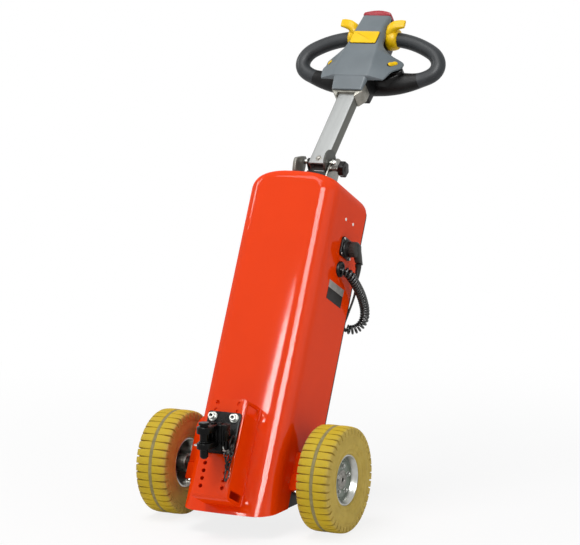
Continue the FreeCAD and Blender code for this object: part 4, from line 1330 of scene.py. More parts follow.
@dataclass
class Hitch(SubAssembly):
    """Row-of-holes hitch bracket with its bolted coupling, latch and safety chain."""

    half: float = 48.0
    back: float = 119.3
    face: float = 198.5
    low: float = -119.0
    high: float = 127.0
    sheet: float = 6.0
    side_radius: float = 3.5
    low_radius: float = 9.0
    hole_radius: float = 5.25
    hole_column: float = 29.0
    hole_top: float = 115.0
    hole_pitch: float = 18.8
    hole_rows: int = 12
    pin_ahead: float = 252.0
    lug_radius: float = 17.5
    upper_lug: tuple[float, float] = (267.0, 284.0)
    lower_lug: tuple[float, float] = (230.0, 245.0)
    web_ahead: float = 216.0
    bolt_places: Outline = ((-29, 77.4), (29, 77.4), (29, 2.2))

    def ahead(self, x: float, distance: float, z: float) -> Vector:
        """Point at a distance ahead of the axle and a height over the floor."""
        return Vector((x, AXLE_Y - distance, z))

    def bracket(self) -> Form:
        """Folded bracket: a tray open behind and above, with two columns of holes."""
        form = Form().block(at(-self.half, self.face, self.low), at(self.half, self.back, self.high))
        front = -self.face
        for upright, radius in ((False, self.low_radius), (True, self.side_radius)):
            folds = [e for e in form.bm.edges if all(abs(v.co.y - front) < 0.1 for v in e.verts)
                     and (abs(e.verts[0].co.z - e.verts[1].co.z) > 1) == upright
                     and not all(abs(v.co.z - self.high) < 0.1 for v in e.verts)]
            form.bevel(folds, radius, 5)
        open_faces = [f for f in form.bm.faces if f.normal.y > 0.9 or f.normal.z > 0.9]
        bmesh.ops.delete(form.bm, geom=open_faces, context="FACES")
        bmesh.ops.recalc_face_normals(form.bm, faces=form.bm.faces)
        if sum(f.normal.y * f.calc_area() for f in form.bm.faces) > 0:
            bmesh.ops.reverse_faces(form.bm, faces=form.bm.faces)
        bmesh.ops.solidify(form.bm, geom=list(form.bm.faces), thickness=self.sheet)
        tool = Form()
        for row in range(self.hole_rows):
            for x in (-self.hole_column, self.hole_column):
                up = self.hole_top - row * self.hole_pitch
                tool.bar(at(x, self.face - 12, up), at(x, self.face + 5, up), self.hole_radius, sides=24)
        for low, high, reach in ((94, 120, 184), (-111, -92, 188)):
            tool.block(at(-self.half - 9, reach, low), at(self.half + 9, 131, high), bevel=2.5)
        return form.cut(tool)

    def welds(self) -> Form:
        """Weld beads that hold the bracket's flanges to the hood."""
        form = Form()
        for x in (-self.half - 1, self.half + 1):
            for low, high in ((96, 126), (-118, -88)):
                count = max(int((high - low) / 1.6), 4)
                path = [at(x, self.back + 1.2, low + (high - low) * k / count) for k in range(count + 1)]
                radii = [2.6 + 0.8 * (k % 2) for k in range(count + 1)]
                radii[0] = radii[-1] = 1.0
                form.tube(path, radii, sides=10)
        return form

    def plate(self) -> Form:
        """Mounting plate of the coupling, with bolt bosses."""
        outline = ((-44, 88), (-40.5, 91.5), (40.5, 91.5), (44, 88),
                   (44, -8), (40.5, -11.5), (-40.5, -11.5), (-44, -8))
        form = Form().prism(facing(outline, self.face), at(0, 8, 0), bevel=1.4)
        for x, up in self.bolt_places:
            form.bar(at(x, self.face + 7, up), at(x, self.face + 8.2, up), 13.5, 12.6, sides=32)
        return form

    def lug(self, levels: tuple[float, float], collar: float) -> Form:
        """Level lug with a round nose and a raised collar round the pin.

        Args:
            levels: heights of its underside and top.
            collar: height of the collar.

        Returns:
            The lug, in the part's frame.
        """
        low, high = levels
        r = self.lug_radius
        nose = [self.ahead(r * math.sin(a), self.pin_ahead + r * math.cos(a), low) for a in arc(-90, 90, 12)]
        outline = [self.ahead(-r, 205, low)] + nose + [self.ahead(r, 205, low)]
        form = Form().prism(outline, UPRIGHT * (high - low), bevel=2.2, segments=3)
        top = self.ahead(0, self.pin_ahead, high - 0.5)
        form.bar(top, top + UPRIGHT * collar, r - 3.5, r - 5, sides=36, bevel=0.8)
        return form

    def casting(self) -> Form:
        """Coupling casting: both lugs, the web behind the jaw with its ribs, and cheeks."""
        form = self.lug(self.upper_lug, 1.4).add(self.lug(self.lower_lug, 0.6))
        low, high = self.lower_lug[0] - 12, self.upper_lug[1]
        form.block(self.ahead(-18, self.web_ahead, low), self.ahead(26, 192, high), bevel=3.0, segments=3)
        form.block(self.ahead(24, 211, low + 4), self.ahead(39, 192, high - 2), bevel=2.0)
        form.block(self.ahead(-21, 215, self.upper_lug[0] + 2), self.ahead(40, 192, high), bevel=2.5,
                   segments=3)
        for x, reach in ((-17, 8), (-5, 7), (6, 8), (16, 8), (27, 1), (34, 0)):
            form.block(self.ahead(x, self.web_ahead + reach, self.lower_lug[1] - 1),
                       self.ahead(x + 3.2, 200, self.upper_lug[0] + 5), bevel=0.9)
        for x, ahead, z, size in ((-14, 208, 285, 5), (2, 209, 285.5, 5.5), (18, 208, 285, 5),
                                  (33, 206, 283, 4.5), (-10, 217, 251, 3), (9, 218, 255, 3.4),
                                  (30, 212, 262, 3.2), (22, 217, 238, 3.2)):
            form.ball(self.ahead(x, ahead, z), size, (1.3, 1.0, 0.5), sides=14)
        for x in (10, 30):
            form.bar(self.ahead(x, 214, 232), self.ahead(x, 214, 278), 3.0, sides=14, bevel=1.0)
        return form

    def pin(self) -> Form:
        """Coupling pin with its disc head and chamfered tip."""
        foot = 207.0
        outline = [(0, 0), (0, 5.6), (4.6, 9.8), (5.4, 10), (80.5, 10), (81.2, 12.2), (82.0, 13),
                   (86.2, 13), (87.2, 12.0), (87.2, 0)]
        form = Form().turned(self.ahead(0, self.pin_ahead, foot), UPRIGHT, outline, sides=40)
        for z in (foot + 22.0, foot + 38.6):
            form.turned(self.ahead(0, self.pin_ahead, z), UPRIGHT,
                        [(0, 10), (0, 12.6), (0.8, 13.2), (2.2, 13.2), (3, 12.6), (3, 10)], sides=36)
        return form

    def pin_pull(self) -> Form:
        """Small bright spring clip beside the pin's lower lug."""
        path = [self.ahead(-19 - 6 * math.sin(a), self.pin_ahead + 6 * math.cos(a), 238)
                for a in arc(-60, 240, 20)]
        return Form().tube(path, 1.6, sides=10)

    def bolt(self, x: float, up: float) -> Form:
        """Socket-head cap screw with a washer.

        Args:
            x: its place across the bracket.
            up: its height in the body's frame.

        Returns:
            The screw and its nut behind the sheet.
        """
        base = self.face + 8
        outline = [(-18, 0), (-18, 5), (0, 5), (0, 10.6), (0.5, 11.4), (1.9, 11.4), (2.5, 10.8), (2.5, 8.0),
                   (3.6, 8.5), (11.8, 8.5), (13, 7.4), (13, 4.5), (8.2, 4.2), (7.4, 0)]
        form = Form().turned(at(x, base, up), at(0, 1, 0), outline, sides=36)
        form.bar(at(x, self.face - 16, up), at(x, self.face - 6.2, up), 8.8, sides=6, bevel=0.8)
        return form

    def bolts(self) -> Form:
        """All three coupling screws."""
        form = Form()
        for x, up in self.bolt_places:
            form.add(self.bolt(x, up))
        return form

    def socket_shade(self) -> Form:
        """Black hexagons in the screws' sockets: painted shade in the recesses."""
        form = Form()
        for x, up in self.bolt_places:
            form.bar(at(x, self.face + 15.0, up), at(x, self.face + 16.6, up), 4.3, sides=6)
        return form

    def latch(self) -> Form:
        """Ring-shaped side lever of the coupling, round in section."""
        middle, wide, tall, wire = at(43, self.face + 21.3, 13), 10.6, 17.2, 2.6
        rings = []
        for turn in angles(28):
            spoke = middle + at(0, wide * math.cos(turn), tall * math.sin(turn))
            inward = at(0, -wide * math.sin(turn), tall * math.cos(turn)).normalized().cross(ACROSS)
            rings.append([spoke + ACROSS * wire * math.cos(b) + inward * wire * math.sin(b)
                          for b in angles(12)])
        return Form().loft(rings, closed=True)

    def latch_disc(self) -> Form:
        """Bright double disc on the casting beside the latch."""
        form = Form()
        for offset, radius in ((0.0, 9.6), (5.0, 8.2)):
            form.bar(at(26 + offset, 222 + offset, 1), at(28.4 + offset, 224 + offset, 1), radius, sides=28,
                     bevel=0.8)
        return form.bar(at(20, 216, 1), at(35, 231, 1), 3.6, sides=20, bevel=0.6)

    def link(self, length: float, width: float, wire: float) -> Form:
        """Round-wire chain link that stands along Z with its plane across Y."""
        radius = width / 2 - wire / 2
        run = length / 2 - width / 2
        rings = []
        for angle in angles(24):
            shift = run if math.sin(angle) > 1e-6 else -run
            middle = Vector((radius * math.cos(angle), 0, radius * math.sin(angle) + shift))
            ahead = Vector((-math.sin(angle), 0, math.cos(angle)))
            side = Vector((math.cos(angle), 0, math.sin(angle)))
            other = ahead.cross(side)
            rings.append([middle + side * (wire / 2 * math.cos(b)) + other * (wire / 2 * math.sin(b))
                          for b in angles(10)])
        return Form().loft(rings, closed=True)

    def chain(self) -> Form:
        """Two strands of safety chain and their snap hook, hanging by their weight."""
        form = Form()
        for strand in (((33, 224, -12), (38, 219, -33), (40, 212, -46)),
                       ((44, 220, 8), (46, 217, -16), (41, 212, -45))):
            corners = [1000 * (BODY_MATRIX @ at(*point)) for point in strand]
            for start, end in zip(corners, corners[1:]):
                count = max(round((end - start).length / 9.6), 1)
                lean = (start - end).to_track_quat("Z", "Y").to_matrix().to_4x4()
                for step in range(count):
                    turn = Matrix.Rotation(math.radians(90 * (step % 2) + 8), 4, "Z")
                    middle = start.lerp(end, (step + 0.5) / count)
                    form.add(self.link(16, 11, 3.2), Matrix.Translation(middle) @ lean @ turn)
        hook = Form().add(self.link(26, 13, 3.6))
        hook.bar(Vector((-5, 0, 4)), Vector((-5, 0, 13)), 2.6, sides=14, bevel=0.6)
        hook.ball(Vector((0, 0, -14.5)), 3.6, sides=16)
        lean = Matrix.Rotation(math.radians(-BODY_LEAN), 4, "X")
        foot = 1000 * (BODY_MATRIX @ at(40, self.face + 9, -60))
        return form.add(hook, Matrix.Translation(foot) @ lean)

    def build(self) -> None:
        """Make the hitch's pieces."""
        self.piece("hitch_tray", self.bracket(), RED_PAINT, "red_paint", "hitch_bracket")
        self.piece("hitch_welds", self.welds(), RED_PAINT, "red_paint")
        self.piece("coupling_plate", self.plate(), CAST_BLACK, "cast_black")
        self.piece("coupling_casting", self.casting(), CAST_BLACK, "cast_black", "coupling_body",
                   place=Place.FLOOR)
        self.piece("coupling_pin_turned", self.pin(), CAST_BLACK, "cast_black", "coupling_pin",
                   place=Place.FLOOR)
        self.piece("pin_clip", self.pin_pull(), ZINC, "zinc", place=Place.FLOOR)
        self.piece("coupling_screws", self.bolts(), ZINC, "zinc", "coupling_bolts")
        # Black hexagons in the screw sockets: painted shade.
        self.piece("coupling_screw_sockets", self.socket_shade(), CAST_BLACK, "zinc")
        self.piece("latch_lever", self.latch(), CAST_BLACK, "cast_black", "coupling_latch")
        self.piece("latch_disc", self.latch_disc(), ZINC, "zinc")
        self.piece("safety_chain", self.chain(), CHAIN_BLACK, "cast_black", "coupling_chain",
                   place=Place.FLOOR)


# ---- castor --------------------------------------------------------------------------------
@dataclass
class Castor(SubAssembly):
    """Rear castor arm, swivel plate, fork and wheel."""

    place: ClassVar[Place] = Place.FLOOR
    behind: float = 245.0
    radius: float = 50.0
    trail: float = 32.0
    arm_low: float = 128.0
    arm_half: float = 50.0
    leg_inside: float = 22.0
    leg_sheet: float = 4.0

    def swivel(self, x: float, behind: float, z: float) -> Vector:
        """Point given from the swivel axis and the floor."""
        return Vector((x, AXLE_Y + self.behind + behind, z))

    def arm(self) -> Form:
        """Box arm that carries the castor behind the body, with a closing plate at its end."""
        outline = []
        for x, z, turn in ((1, 1, 0), (-1, 1, 90), (-1, -1, 180), (1, -1, 270)):
            middle = self.swivel(x * (self.arm_half - 6), 0, self.arm_low + 20 + z * 14)
            for step in range(5):
                angle = math.radians(turn + 90 * step / 4)
                outline.append(middle + Vector((6 * math.cos(angle), 0, 6 * math.sin(angle))))
        for point in outline:
            point.y = AXLE_Y + self.behind + 51
        form = Form().prism(outline, Vector((0, 55 - self.behind, 0)), bevel=0.8)
        return form.block(self.swivel(-47, 50, self.arm_low + 2), self.swivel(47, 52, self.arm_low + 38),
                          bevel=1.0)

    def plate(self) -> Form:
        """Bolted swivel plate with its race and four bolts."""
        form = Form().block(self.swivel(-48, -42, self.arm_low - 5), self.swivel(48, 42, self.arm_low),
                            bevel=1.0)
        race = [(-12.5, 0), (-12.5, 23), (-11.5, 24), (-8, 24.6), (-7, 27.5), (-5, 30), (-5, 0)]
        form.turned(self.swivel(0, 0, self.arm_low), UPRIGHT, race, sides=48)
        for x in (-38, 38):
            for y in (-32, 32):
                spot = self.swivel(x, y, self.arm_low - 5)
                form.bar(spot, spot - UPRIGHT * 6, 6.5, sides=6, bevel=0.7)
        return form

    def fork(self) -> Form:
        """Pressed fork: crown with a ball-race ring, and two tapering legs with folded edges."""
        top = self.arm_low - 13.0
        ring = [(-5.5, 0), (-5.5, 29), (-4.6, 30), (-2.0, 30), (-0.8, 28.6), (-0.5, 24), (-0.5, 0)]
        form = Form().turned(self.swivel(0, 0, top), UPRIGHT, ring, sides=48)
        form.block(self.swivel(-26, -24, top - 9), self.swivel(26, 26, top - 5), bevel=1.6, segments=3)
        for inner in (-self.leg_inside - self.leg_sheet, self.leg_inside):
            legs = [(-24, top - 6), (26, top - 6), (self.trail + 13, self.radius + 4),
                    (self.trail + 11, self.radius - 7), (self.trail, self.radius - 13),
                    (self.trail - 11, self.radius - 7), (self.trail - 13, self.radius + 4)]
            outline = [self.swivel(inner, y, z) for y, z in legs]
            form.prism(outline, ACROSS * self.leg_sheet, bevel=1.2)
        return form

    def axle(self) -> Form:
        """Castor wheel's axle bolt, nut and spacers."""
        middle = self.swivel(0, self.trail, self.radius)
        return Form().stack(middle, ACROSS, (
            (-30, 30, 8, 24, 0), (-32, -26, 10.9, 6, 0.8), (26, 32, 10.9, 6, 0.8),
            (-16.7, -22, 11, 28, 0.4), (16.7, 22, 11, 28, 0.4)))

    def wheel(self) -> Form:
        """Moulded castor wheel: crowned tread, recessed web and hub."""
        middle = self.swivel(0, self.trail, self.radius)
        half = [(0, self.radius), (9, self.radius - 0.1), (13, self.radius - 1.0), (15.2, self.radius - 3.4),
                (16, self.radius - 7), (15, 37), (13, 34.5), (7.5, 32.5), (7.0, 20), (9, 16), (15.6, 14.5),
                (16, 13.6), (16, 8.1)]
        return Form().turned(middle, ACROSS, [*both_halves(half), (-16, 8.1)], sides=64)

    def build(self) -> None:
        """Make the castor's pieces."""
        self.piece("castor_beam", self.arm(), BLACK_PAINT, "black_paint", "castor_arm")
        self.piece("swivel_plate", self.plate(), ZINC, "zinc", "castor_plate")
        self.piece("pressed_fork", self.fork(), ZINC, "zinc", "castor_fork", body="castor_fork")
        self.piece("castor_axle_bolt", self.axle(), ZINC, "zinc", "castor_axle", body="castor_fork")
        self.piece("castor_roller", self.wheel(), CASTOR_RUBBER, "castor_rubber", "castor_wheel",
                   body="castor_wheel")


# ---- tiller joint --------------------------------------------------------------------------
# Cast and left grey: half metallic, with a coarse matt skin.
LEVER_STEEL = Finish("grey cast lever", "#77776F", "#62625C", mottle_size=8, roughness=0.45, metallic=0.3,
                     grain_size=0.9, grain_height=0.05)
# Brushed plate, dulled by handling: dark grey with a weak metallic sheen.
DISC_STEEL = Finish("brushed steel ear", "#50524D", "#484A45", mottle_size=10, metallic=0.3, roughness=0.42,
                    specular=0.2, grain_size=0.5, grain_height=0.01)
# Hard glossy moulding: a small bright highlight on each flute.
KNOB_PLASTIC = Finish("black star grip", "#14110F", "#0C0A09", mottle_size=8, roughness=0.26, specular=0.16,
                      grain_size=0.8, grain_height=0.02)


@dataclass
class TillerJoint(SubAssembly):
    """Hinge bracket on the hood, hinge pin with its lever, and the star knob of the clamp."""

    hinge_out: float = HINGE_OUT
    hinge_up: float = HINGE_UP
    floor: float = 748.0
    knob_out: float = -16.0
    knob_up: float = 797.0
    left_cheek: Outline = ((-31, 752), (-31, 788), (-8, 806), (-8, 817), (-13, 823), (-26, 825), (-46, 812),
                           (-62, 752))
    right_cheek: Outline = ((4, 752), (0, 780), (-6, 804), (-20, 821), (-45, 837), (-66, 836), (-71, 828),
                            (-60, 752))

    def hinge(self, x: float, out: float = 0.0, up: float = 0.0) -> Vector:
        """Point given from the hinge."""
        return at(x, self.hinge_out + out, self.hinge_up + up)

    def knob(self, x: float, out: float = 0.0, up: float = 0.0) -> Vector:
        """Point given from the knob's axis."""
        return at(x, self.knob_out + out, self.knob_up + up)

    def cheek(self, x: float, outline: Outline) -> Form:
        """Upright plate of the bracket.

        Args:
            x: its lower face across the part.
            outline: its corners (out, up).

        Returns:
            The plate, with its corners rounded off.
        """
        ring = rounded_ring(outline, [1.0] + [9.0] * (len(outline) - 2) + [1.0], 4)
        return Form().prism(edgeways(ring, x), ACROSS * 4, bevel=0.7)

    def foot(self) -> Form:
        """Base plate with its screws, and the left cheek."""
        form = Form().block(at(-46, -64, self.floor), at(46, 14, self.floor + 5), bevel=1.0)
        form.add(self.cheek(-32, self.left_cheek))
        form.block(at(-27, -42, self.floor + 4), at(31, -6, 787), bevel=3.0, segments=3)
        for x in (-39, 39):
            for out in (-56, 6):
                spot = at(x, out, self.floor + 5)
                form.bar(spot, spot + UPRIGHT * 4, 4.6, sides=6, bevel=0.5)
        return form

    def pin(self) -> Form:
        """Hinge pin, its nut, washers and the spacer behind the lever."""
        form = Form().stack(self.hinge(0), ACROSS, ((-44, 46, 5.4, 28, 0.6), (36.1, 37.4, 8.5, 28, 0.3),
                                                    (37.4, 43, 7.8, 6, 0.7), (-44, -32.2, 6.4, 28, 0.5)))
        return form.stack(at(4, 0, 766), at(0, 1, 0), ((-7, -4, 9.5, 28, 0.4), (-4, 3, 7.4, 6, 0.7)))

    def lever(self) -> Form:
        """Broad cast lever on the pin's left end, with a raised boss."""
        outline = rounded_ring(((24, 798), (22, 810), (-8, 825), (-25, 831), (-32, 826), (-36, 802),
                                (-29, 776), (18, 773)), [5, 5, 12, 5, 5, 12, 6, 6], 4)
        form = Form().prism(edgeways(outline, -55), ACROSS * 9.6, bevel=2.2, segments=3)
        return form.bar(self.hinge(-56), self.hinge(-54), 8.4, sides=28, bevel=0.8)

    def clamp_stack(self) -> Form:
        """Washers and the short spring between cheek and star knob."""
        form = Form()
        form.stack(self.knob(0), ACROSS, ((36.1, 37.6, 7.9, 28, 0.4), (37.8, 39.2, 7.2, 28, 0.4),
                                          (54.5, 56.2, 7.8, 28, 0.4), (56.4, 61.8, 6.6, 28, 0.4)))
        turns, steps, width, start, length = 4, 14, 6.4, 39.6, 14.4
        path = []
        for k in range(turns * steps + 1):
            angle = 2 * math.pi * k / steps
            path.append(self.knob(start + length * k / (turns * steps), width * math.cos(angle),
                                  width * math.sin(angle)))
        form.tube(path, 1.15, sides=8)
        return form.bar(self.knob(25.6), self.knob(62), 3.9, sides=20)

    def star(self) -> Form:
        """Fluted round grip with a domed face."""
        form = Form()
        radius, flute, flutes = 19.6, 1.2, 6
        bmesh.ops.create_circle(form.bm, cap_ends=True, segments=72, radius=1.0)
        for vert in form.bm.verts:
            angle = math.atan2(vert.co.y, vert.co.x)
            reach = radius + flute * math.cos(flutes * angle)
            vert.co = self.knob(62.2, reach * math.cos(angle), reach * math.sin(angle))
        form.push(list(form.bm.faces), ACROSS * 15.6)
        rims = [e for e in form.bm.edges if abs(e.verts[0].co.x - e.verts[1].co.x) < 0.01]
        form.bevel(rims, 3.0, 4)
        form.bar(self.knob(77), self.knob(78.8), 9, 7.5, sides=32, bevel=0.4)
        return form

    def build(self) -> None:
        """Make the joint's pieces."""
        self.piece("hinge_foot", self.foot(), BLACK_PAINT, "black_paint", "tiller_bracket")
        self.piece("hinge_cheek", self.cheek(32, self.right_cheek), TURNED_STEEL, "steel")
        self.piece("hinge_pin_turned", self.pin(), ZINC, "zinc", "hinge_pin")
        self.piece("hook_lever", self.lever(), LEVER_STEEL, "steel", "clamp_lever")
        self.piece("clamp_stack", self.clamp_stack(), TURNED_STEEL, "steel")
        self.piece("star_knob", self.star(), KNOB_PLASTIC, "black_plastic", "clamp_knob")


# ---- tiller and control head ---------------------------------------------------------------
@dataclass(frozen=True)
class TubeAluminium(Finish):
    """Extruded aluminium, brushed, with painted shade on its flanks, which are coloured darker than the wide
    faces.
    """

    flank: float = 0.0238
    # The flanks' colour is painted shade.
    shaded_flank_colour: str = "#55564F"

    def tinted(self, tree: Tree, place: Socket, colour: Socket) -> Socket:
        """Paint shade on the flanks: darken what lies further across the part than the wide faces reach."""
        parts = node(tree, "SeparateXYZ", {0: node(tree, "TexCoord").outputs["Object"]})
        across = node(tree, "Math", {0: parts.outputs["X"]}, operation="ABSOLUTE").outputs[0]
        share = node(tree, "MapRange", {"Value": across}, From_Min=self.flank, From_Max=self.flank + 0.001)
        return node(tree, "Mix", {"Factor": share.outputs["Result"], 6: colour, 7: linear(self.shaded_flank_colour)},
                    data_type="RGBA").outputs[2]


# Brushing draws the grain along the tube, so highlights spread across it.
ALUMINIUM = TubeAluminium("brushed aluminium tube", "#999B9A", "#898B8A", mottle_size=26, metallic=0.6,
                          roughness=0.4, roughness_spread=0.05, grain_size=1.4, grain_height=0.012,
                          stretch=(1.0, 1.0, 0.06), lean=TILLER_LEAN)
# Cast aluminium: pale, matt metal with a fine sandy skin.
CAST_ALUMINIUM = Finish("cast aluminium", "#96948B", "#7C7A72", mottle_size=12, metallic=0.6, roughness=0.46,
                        grain_size=1.0, grain_height=0.05)
# Moulded ABS with a fine texture: even grey with a wide, soft sheen.
GREY_SHELL = Finish("grey moulded ABS", "#6D767B", "#646D72", mottle_size=50, roughness=0.42, specular=0.3,
                    roughness_spread=0.04, grain_size=0.7, grain_height=0.012)
# Grip moulding: charcoal, with a satin grain for the hand.
GRIP_PLASTIC = Finish("charcoal grip moulding", "#36393C", "#2E3133", mottle_size=30, roughness=0.46,
                      specular=0.22, roughness_spread=0.05, grain_size=0.9, grain_height=0.03)
# Housing moulding: nearly black, and satin.
HOUSING_PLASTIC = Finish("black housing moulding", "#141414", "#0E0E0E", mottle_size=30, roughness=0.4,
                         specular=0.16, grain_size=0.9, grain_height=0.03)
# Moulded nylon, dyed through: strong yellow in light and shade, with soft highlights.
YELLOW_PLASTIC = Finish("yellow moulded nylon", "#F8CA00", "#F2C200", mottle_size=30, roughness=0.34,
                        specular=0.2, roughness_spread=0.04, grain_size=0.8, grain_height=0.006)
# Smooth moulded button: the glossiest plastic of the head.
RED_PLASTIC = Finish("red moulded button", "#AE0F26", "#9E0B20", mottle_size=20, roughness=0.3, specular=0.35,
                     roughness_spread=0.03, grain_size=0.8, grain_height=0.006)


def rounded_ring(corners: Sequence[tuple[float, float]], radii: Sequence[float],
                 steps: int) -> list[tuple[float, float]]:
    """Round the corners of a flat outline, with the same number of points whatever the radii.

    Args:
        corners: the outline's corners, in order.
        radii: one radius for each corner; 0 keeps it sharp.
        steps: points per corner, less one.

    Returns:
        The rounded outline's points.
    """
    points = []
    for index, (corner, radius) in enumerate(zip(corners, radii)):
        here = Vector(corner)
        before = Vector(corners[index - 1]) - here
        after = Vector(corners[(index + 1) % len(corners)]) - here
        reach = min(radius, 0.45 * before.length, 0.45 * after.length)
        first, last = here + before.normalized() * reach, here + after.normalized() * reach
        for step in range(steps + 1):
            t = step / steps
            points.append(tuple(first * (1 - t) ** 2 + here * 2 * t * (1 - t) + last * t ** 2))
    return points


def rows_through(table: Sequence[Sequence[float]], steps: int) -> list[list[float]]:
    """Fill in rows between those of a table, along a smooth curve through them.

    Args:
        table: rows of numbers.
        steps: parts into which each gap is split.

    Returns:
        The table's rows with the rows between them.
    """
    rows = []
    for index, row in enumerate(table[:-1]):
        ahead = table[index + 1]
        before = table[max(index - 1, 0)]
        beyond = table[min(index + 2, len(table) - 1)]
        for step in range(steps):
            t = step / steps
            rows.append([0.5 * (2 * b + (c - a) * t + (2 * a - 5 * b + 4 * c - d) * t * t
                                + (3 * b - a - 3 * c + d) * t ** 3)
                         for a, b, c, d in zip(before, row, ahead, beyond)])
    return rows + [list(table[-1])]


@dataclass
class ControlHead(SubAssembly):
    """Tiller tube with its shoe, and the head: cover, housing, loop handles and controls."""

    place: ClassVar[Place] = Place.TILLER
    body: ClassVar[str] = "tiller"
    tube_half: float = 25.0
    tube_front: float = 12.5
    tube_back: float = -17.5
    wall: float = 3.0
    tube_start: float = -14.0
    # Rows of the cover: place along the tiller, then half-width and level of its top and of its
    # edge, and the level of its underside.
    waist: tuple[tuple[float, ...], ...] = (
        (234, 39, 26.5, 43, 24, 21), (270, 42, 36, 47.5, 31, 22), (273, 46, 37.5, 82, 25.5, 21.5),
        (277, 48, 38.5, 90, 23, 18.5), (309, 49, 41, 99, 16.5, 12), (330, 48, 42, 105, 4, -1),
        (346, 47, 42, 109, -6, -11), (361, 46, 42.3, 110, -8, -13), (367, 45, 42.4, 103, -6, -12),
        (372, 44.5, 42.5, 84, 3, -4), (378, 43.5, 42.6, 67, 14, 5))
    spine: tuple[tuple[float, ...], ...] = (
        (378, 43.5, 42.6, 67, 14, 5), (388, 42, 43, 55.5, 22, 13), (401, 39, 43.5, 47, 28, 18),
        (426, 38, 44.5, 45, 30, 20), (448, 37, 43, 43.5, 31, 20), (496, 36, 34.5, 40.5, 31, 22))
    # Rows of a handle: place across and along the loops' plane, half-depth and half-width.
    loop_rows: tuple[tuple[float, ...], ...] = (
        (60, 90, 19.5, 19.5), (88, 85.5, 19.5, 19.5), (118, 78, 19.5, 19.5), (150, 65.5, 19.5, 19.5),
        (178, 49.5, 19.5, 19.5), (192.5, 32, 19.5, 19.5), (196.5, 14, 19.5, 19.5), (190.5, -2, 19.5, 19.5),
        (177, -13.5, 19.5, 19.5), (157, -22.5, 19.8, 19.8), (132, -29.5, 22.4, 23.4), (100, -34, 25.6, 29),
        (66, -35.5, 28, 33.5), (36, -35, 29.5, 36), (12, -35, 30, 37))
    grip_end: float = 150.0

    def tube(self) -> Form:
        """Rectangular tube with rounded edges, open at both ends."""
        rings = []
        for inset, up in ((self.wall, 262), (self.wall, self.tube_start), (0.6, self.tube_start),
                          (0, self.tube_start + 0.6), (0, 262)):
            half, low, high = self.tube_half - inset, self.tube_back + inset, self.tube_front - inset
            radius = 3.4 if inset < 1 else 1.2
            rings.append(level_ring(rounded_ring(rectangle(half, low, high), [radius] * 4, 5), up))
        return Form().loft(rings, closed=True)

    def shoe(self) -> Form:
        """Cast yoke that carries the head, with an open mouth in front of the tube."""
        outline = [(-27, 216), (27, 216), (43, 234), (43, 262), (-43, 262), (-43, 234)]
        form = Form().prism(facing(outline, -22), at(0, 42, 0), bevel=2.0, segments=3)
        form.cut(Form().block(at(-25.2, -17.7, 200), at(25.2, 12.7, 264)))
        return form.cut(Form().block(at(-25.2, -17.5, 200), at(25.2, 30, 229)))

    def cover_ring(self, row: Sequence[float], inset: float, up: float) -> list[Vector]:
        """Ring of the cover's skin from one section."""
        top_half, top, edge_half, edge, under = row[1:]
        corners = [(-edge_half + inset, under + inset), (-edge_half + inset, edge),
                   (-top_half + inset, top - inset), (top_half - inset, top - inset),
                   (edge_half - inset, edge), (edge_half - inset, under + inset)]
        return level_ring(rounded_ring(corners, (1.0, 3.0, 5.5, 5.5, 3.0, 1.0), 5), up)

    def cover(self) -> Form:
        """Grey cover: tab, waist with both wings, and flat spine."""
        first, last = self.waist[0], self.spine[-1]
        rings = [self.cover_ring(first, inset, first[0] + rise)
                 for inset, rise in ((1.6, 0), (0.5, 0.5), (0.0, 1.8))]
        rings += [self.cover_ring(row, 0.0, row[0]) for row in rows_through(self.waist[1:], 4)[:-1]]
        rings += [self.cover_ring(row, 0.0, row[0]) for row in rows_through(self.spine, 5)[:-1]]
        rings += [self.cover_ring(last, inset, last[0] - drop)
                  for inset, drop in ((0.0, 1.6), (0.5, 0.4), (1.4, 0))]
        return Form().loft(rings)

    def housing(self) -> Form:
        """Black lower half: the spine under the cover, and the wing under both handles."""
        spine = ((-42, 246), (20.9, 246), (20, 495.5), (-26, 495.5), (-44, 450), (-48, 330), (-44, 262))
        form = Form().prism(edgeways(spine, -42.5), ACROSS * 85, bevel=3.0, segments=3)
        wing = ((-74, 303), (74, 303), (104, 326), (106, 349), (-106, 349), (-104, 326))
        form.prism(facing(wing, -60), at(0, 46, 0), bevel=5.0, segments=4)
        rear = ((-98, 328), (98, 328), (112, 336), (109, 352), (-109, 352), (-112, 336))
        form.prism(facing(rear, -34), at(0, 24, 0), bevel=3.0, segments=3)
        return form

    def loop_path(self) -> list[tuple[Vector, float, float]]:
        """Middle line of a handle in the loops' plane: points with the tube's two half-widths."""
        return [(Vector((x, 0, z)), deep, wide) for x, z, deep, wide in rows_through(self.loop_rows, 6)]

    def handle(self, side: Side, arm: bool) -> Form:
        """One grip from the paddle round to its lower arm, or that arm from the housing to the grip.

        Args:
            side: the side it is on.
            arm: whether it is the arm.

        Returns:
            The tube, in the loops' plane.
        """
        rows = self.loop_path()
        split = next(k for k, row in enumerate(rows) if row[0].z < 0 and row[0].x < self.grip_end)
        rows = rows[split:] if arm else rows[:split + 1]
        form = Form().tube([r[0] for r in rows], [r[1] for r in rows], sides=36, flat=[r[2] for r in rows])
        return form.on(side)

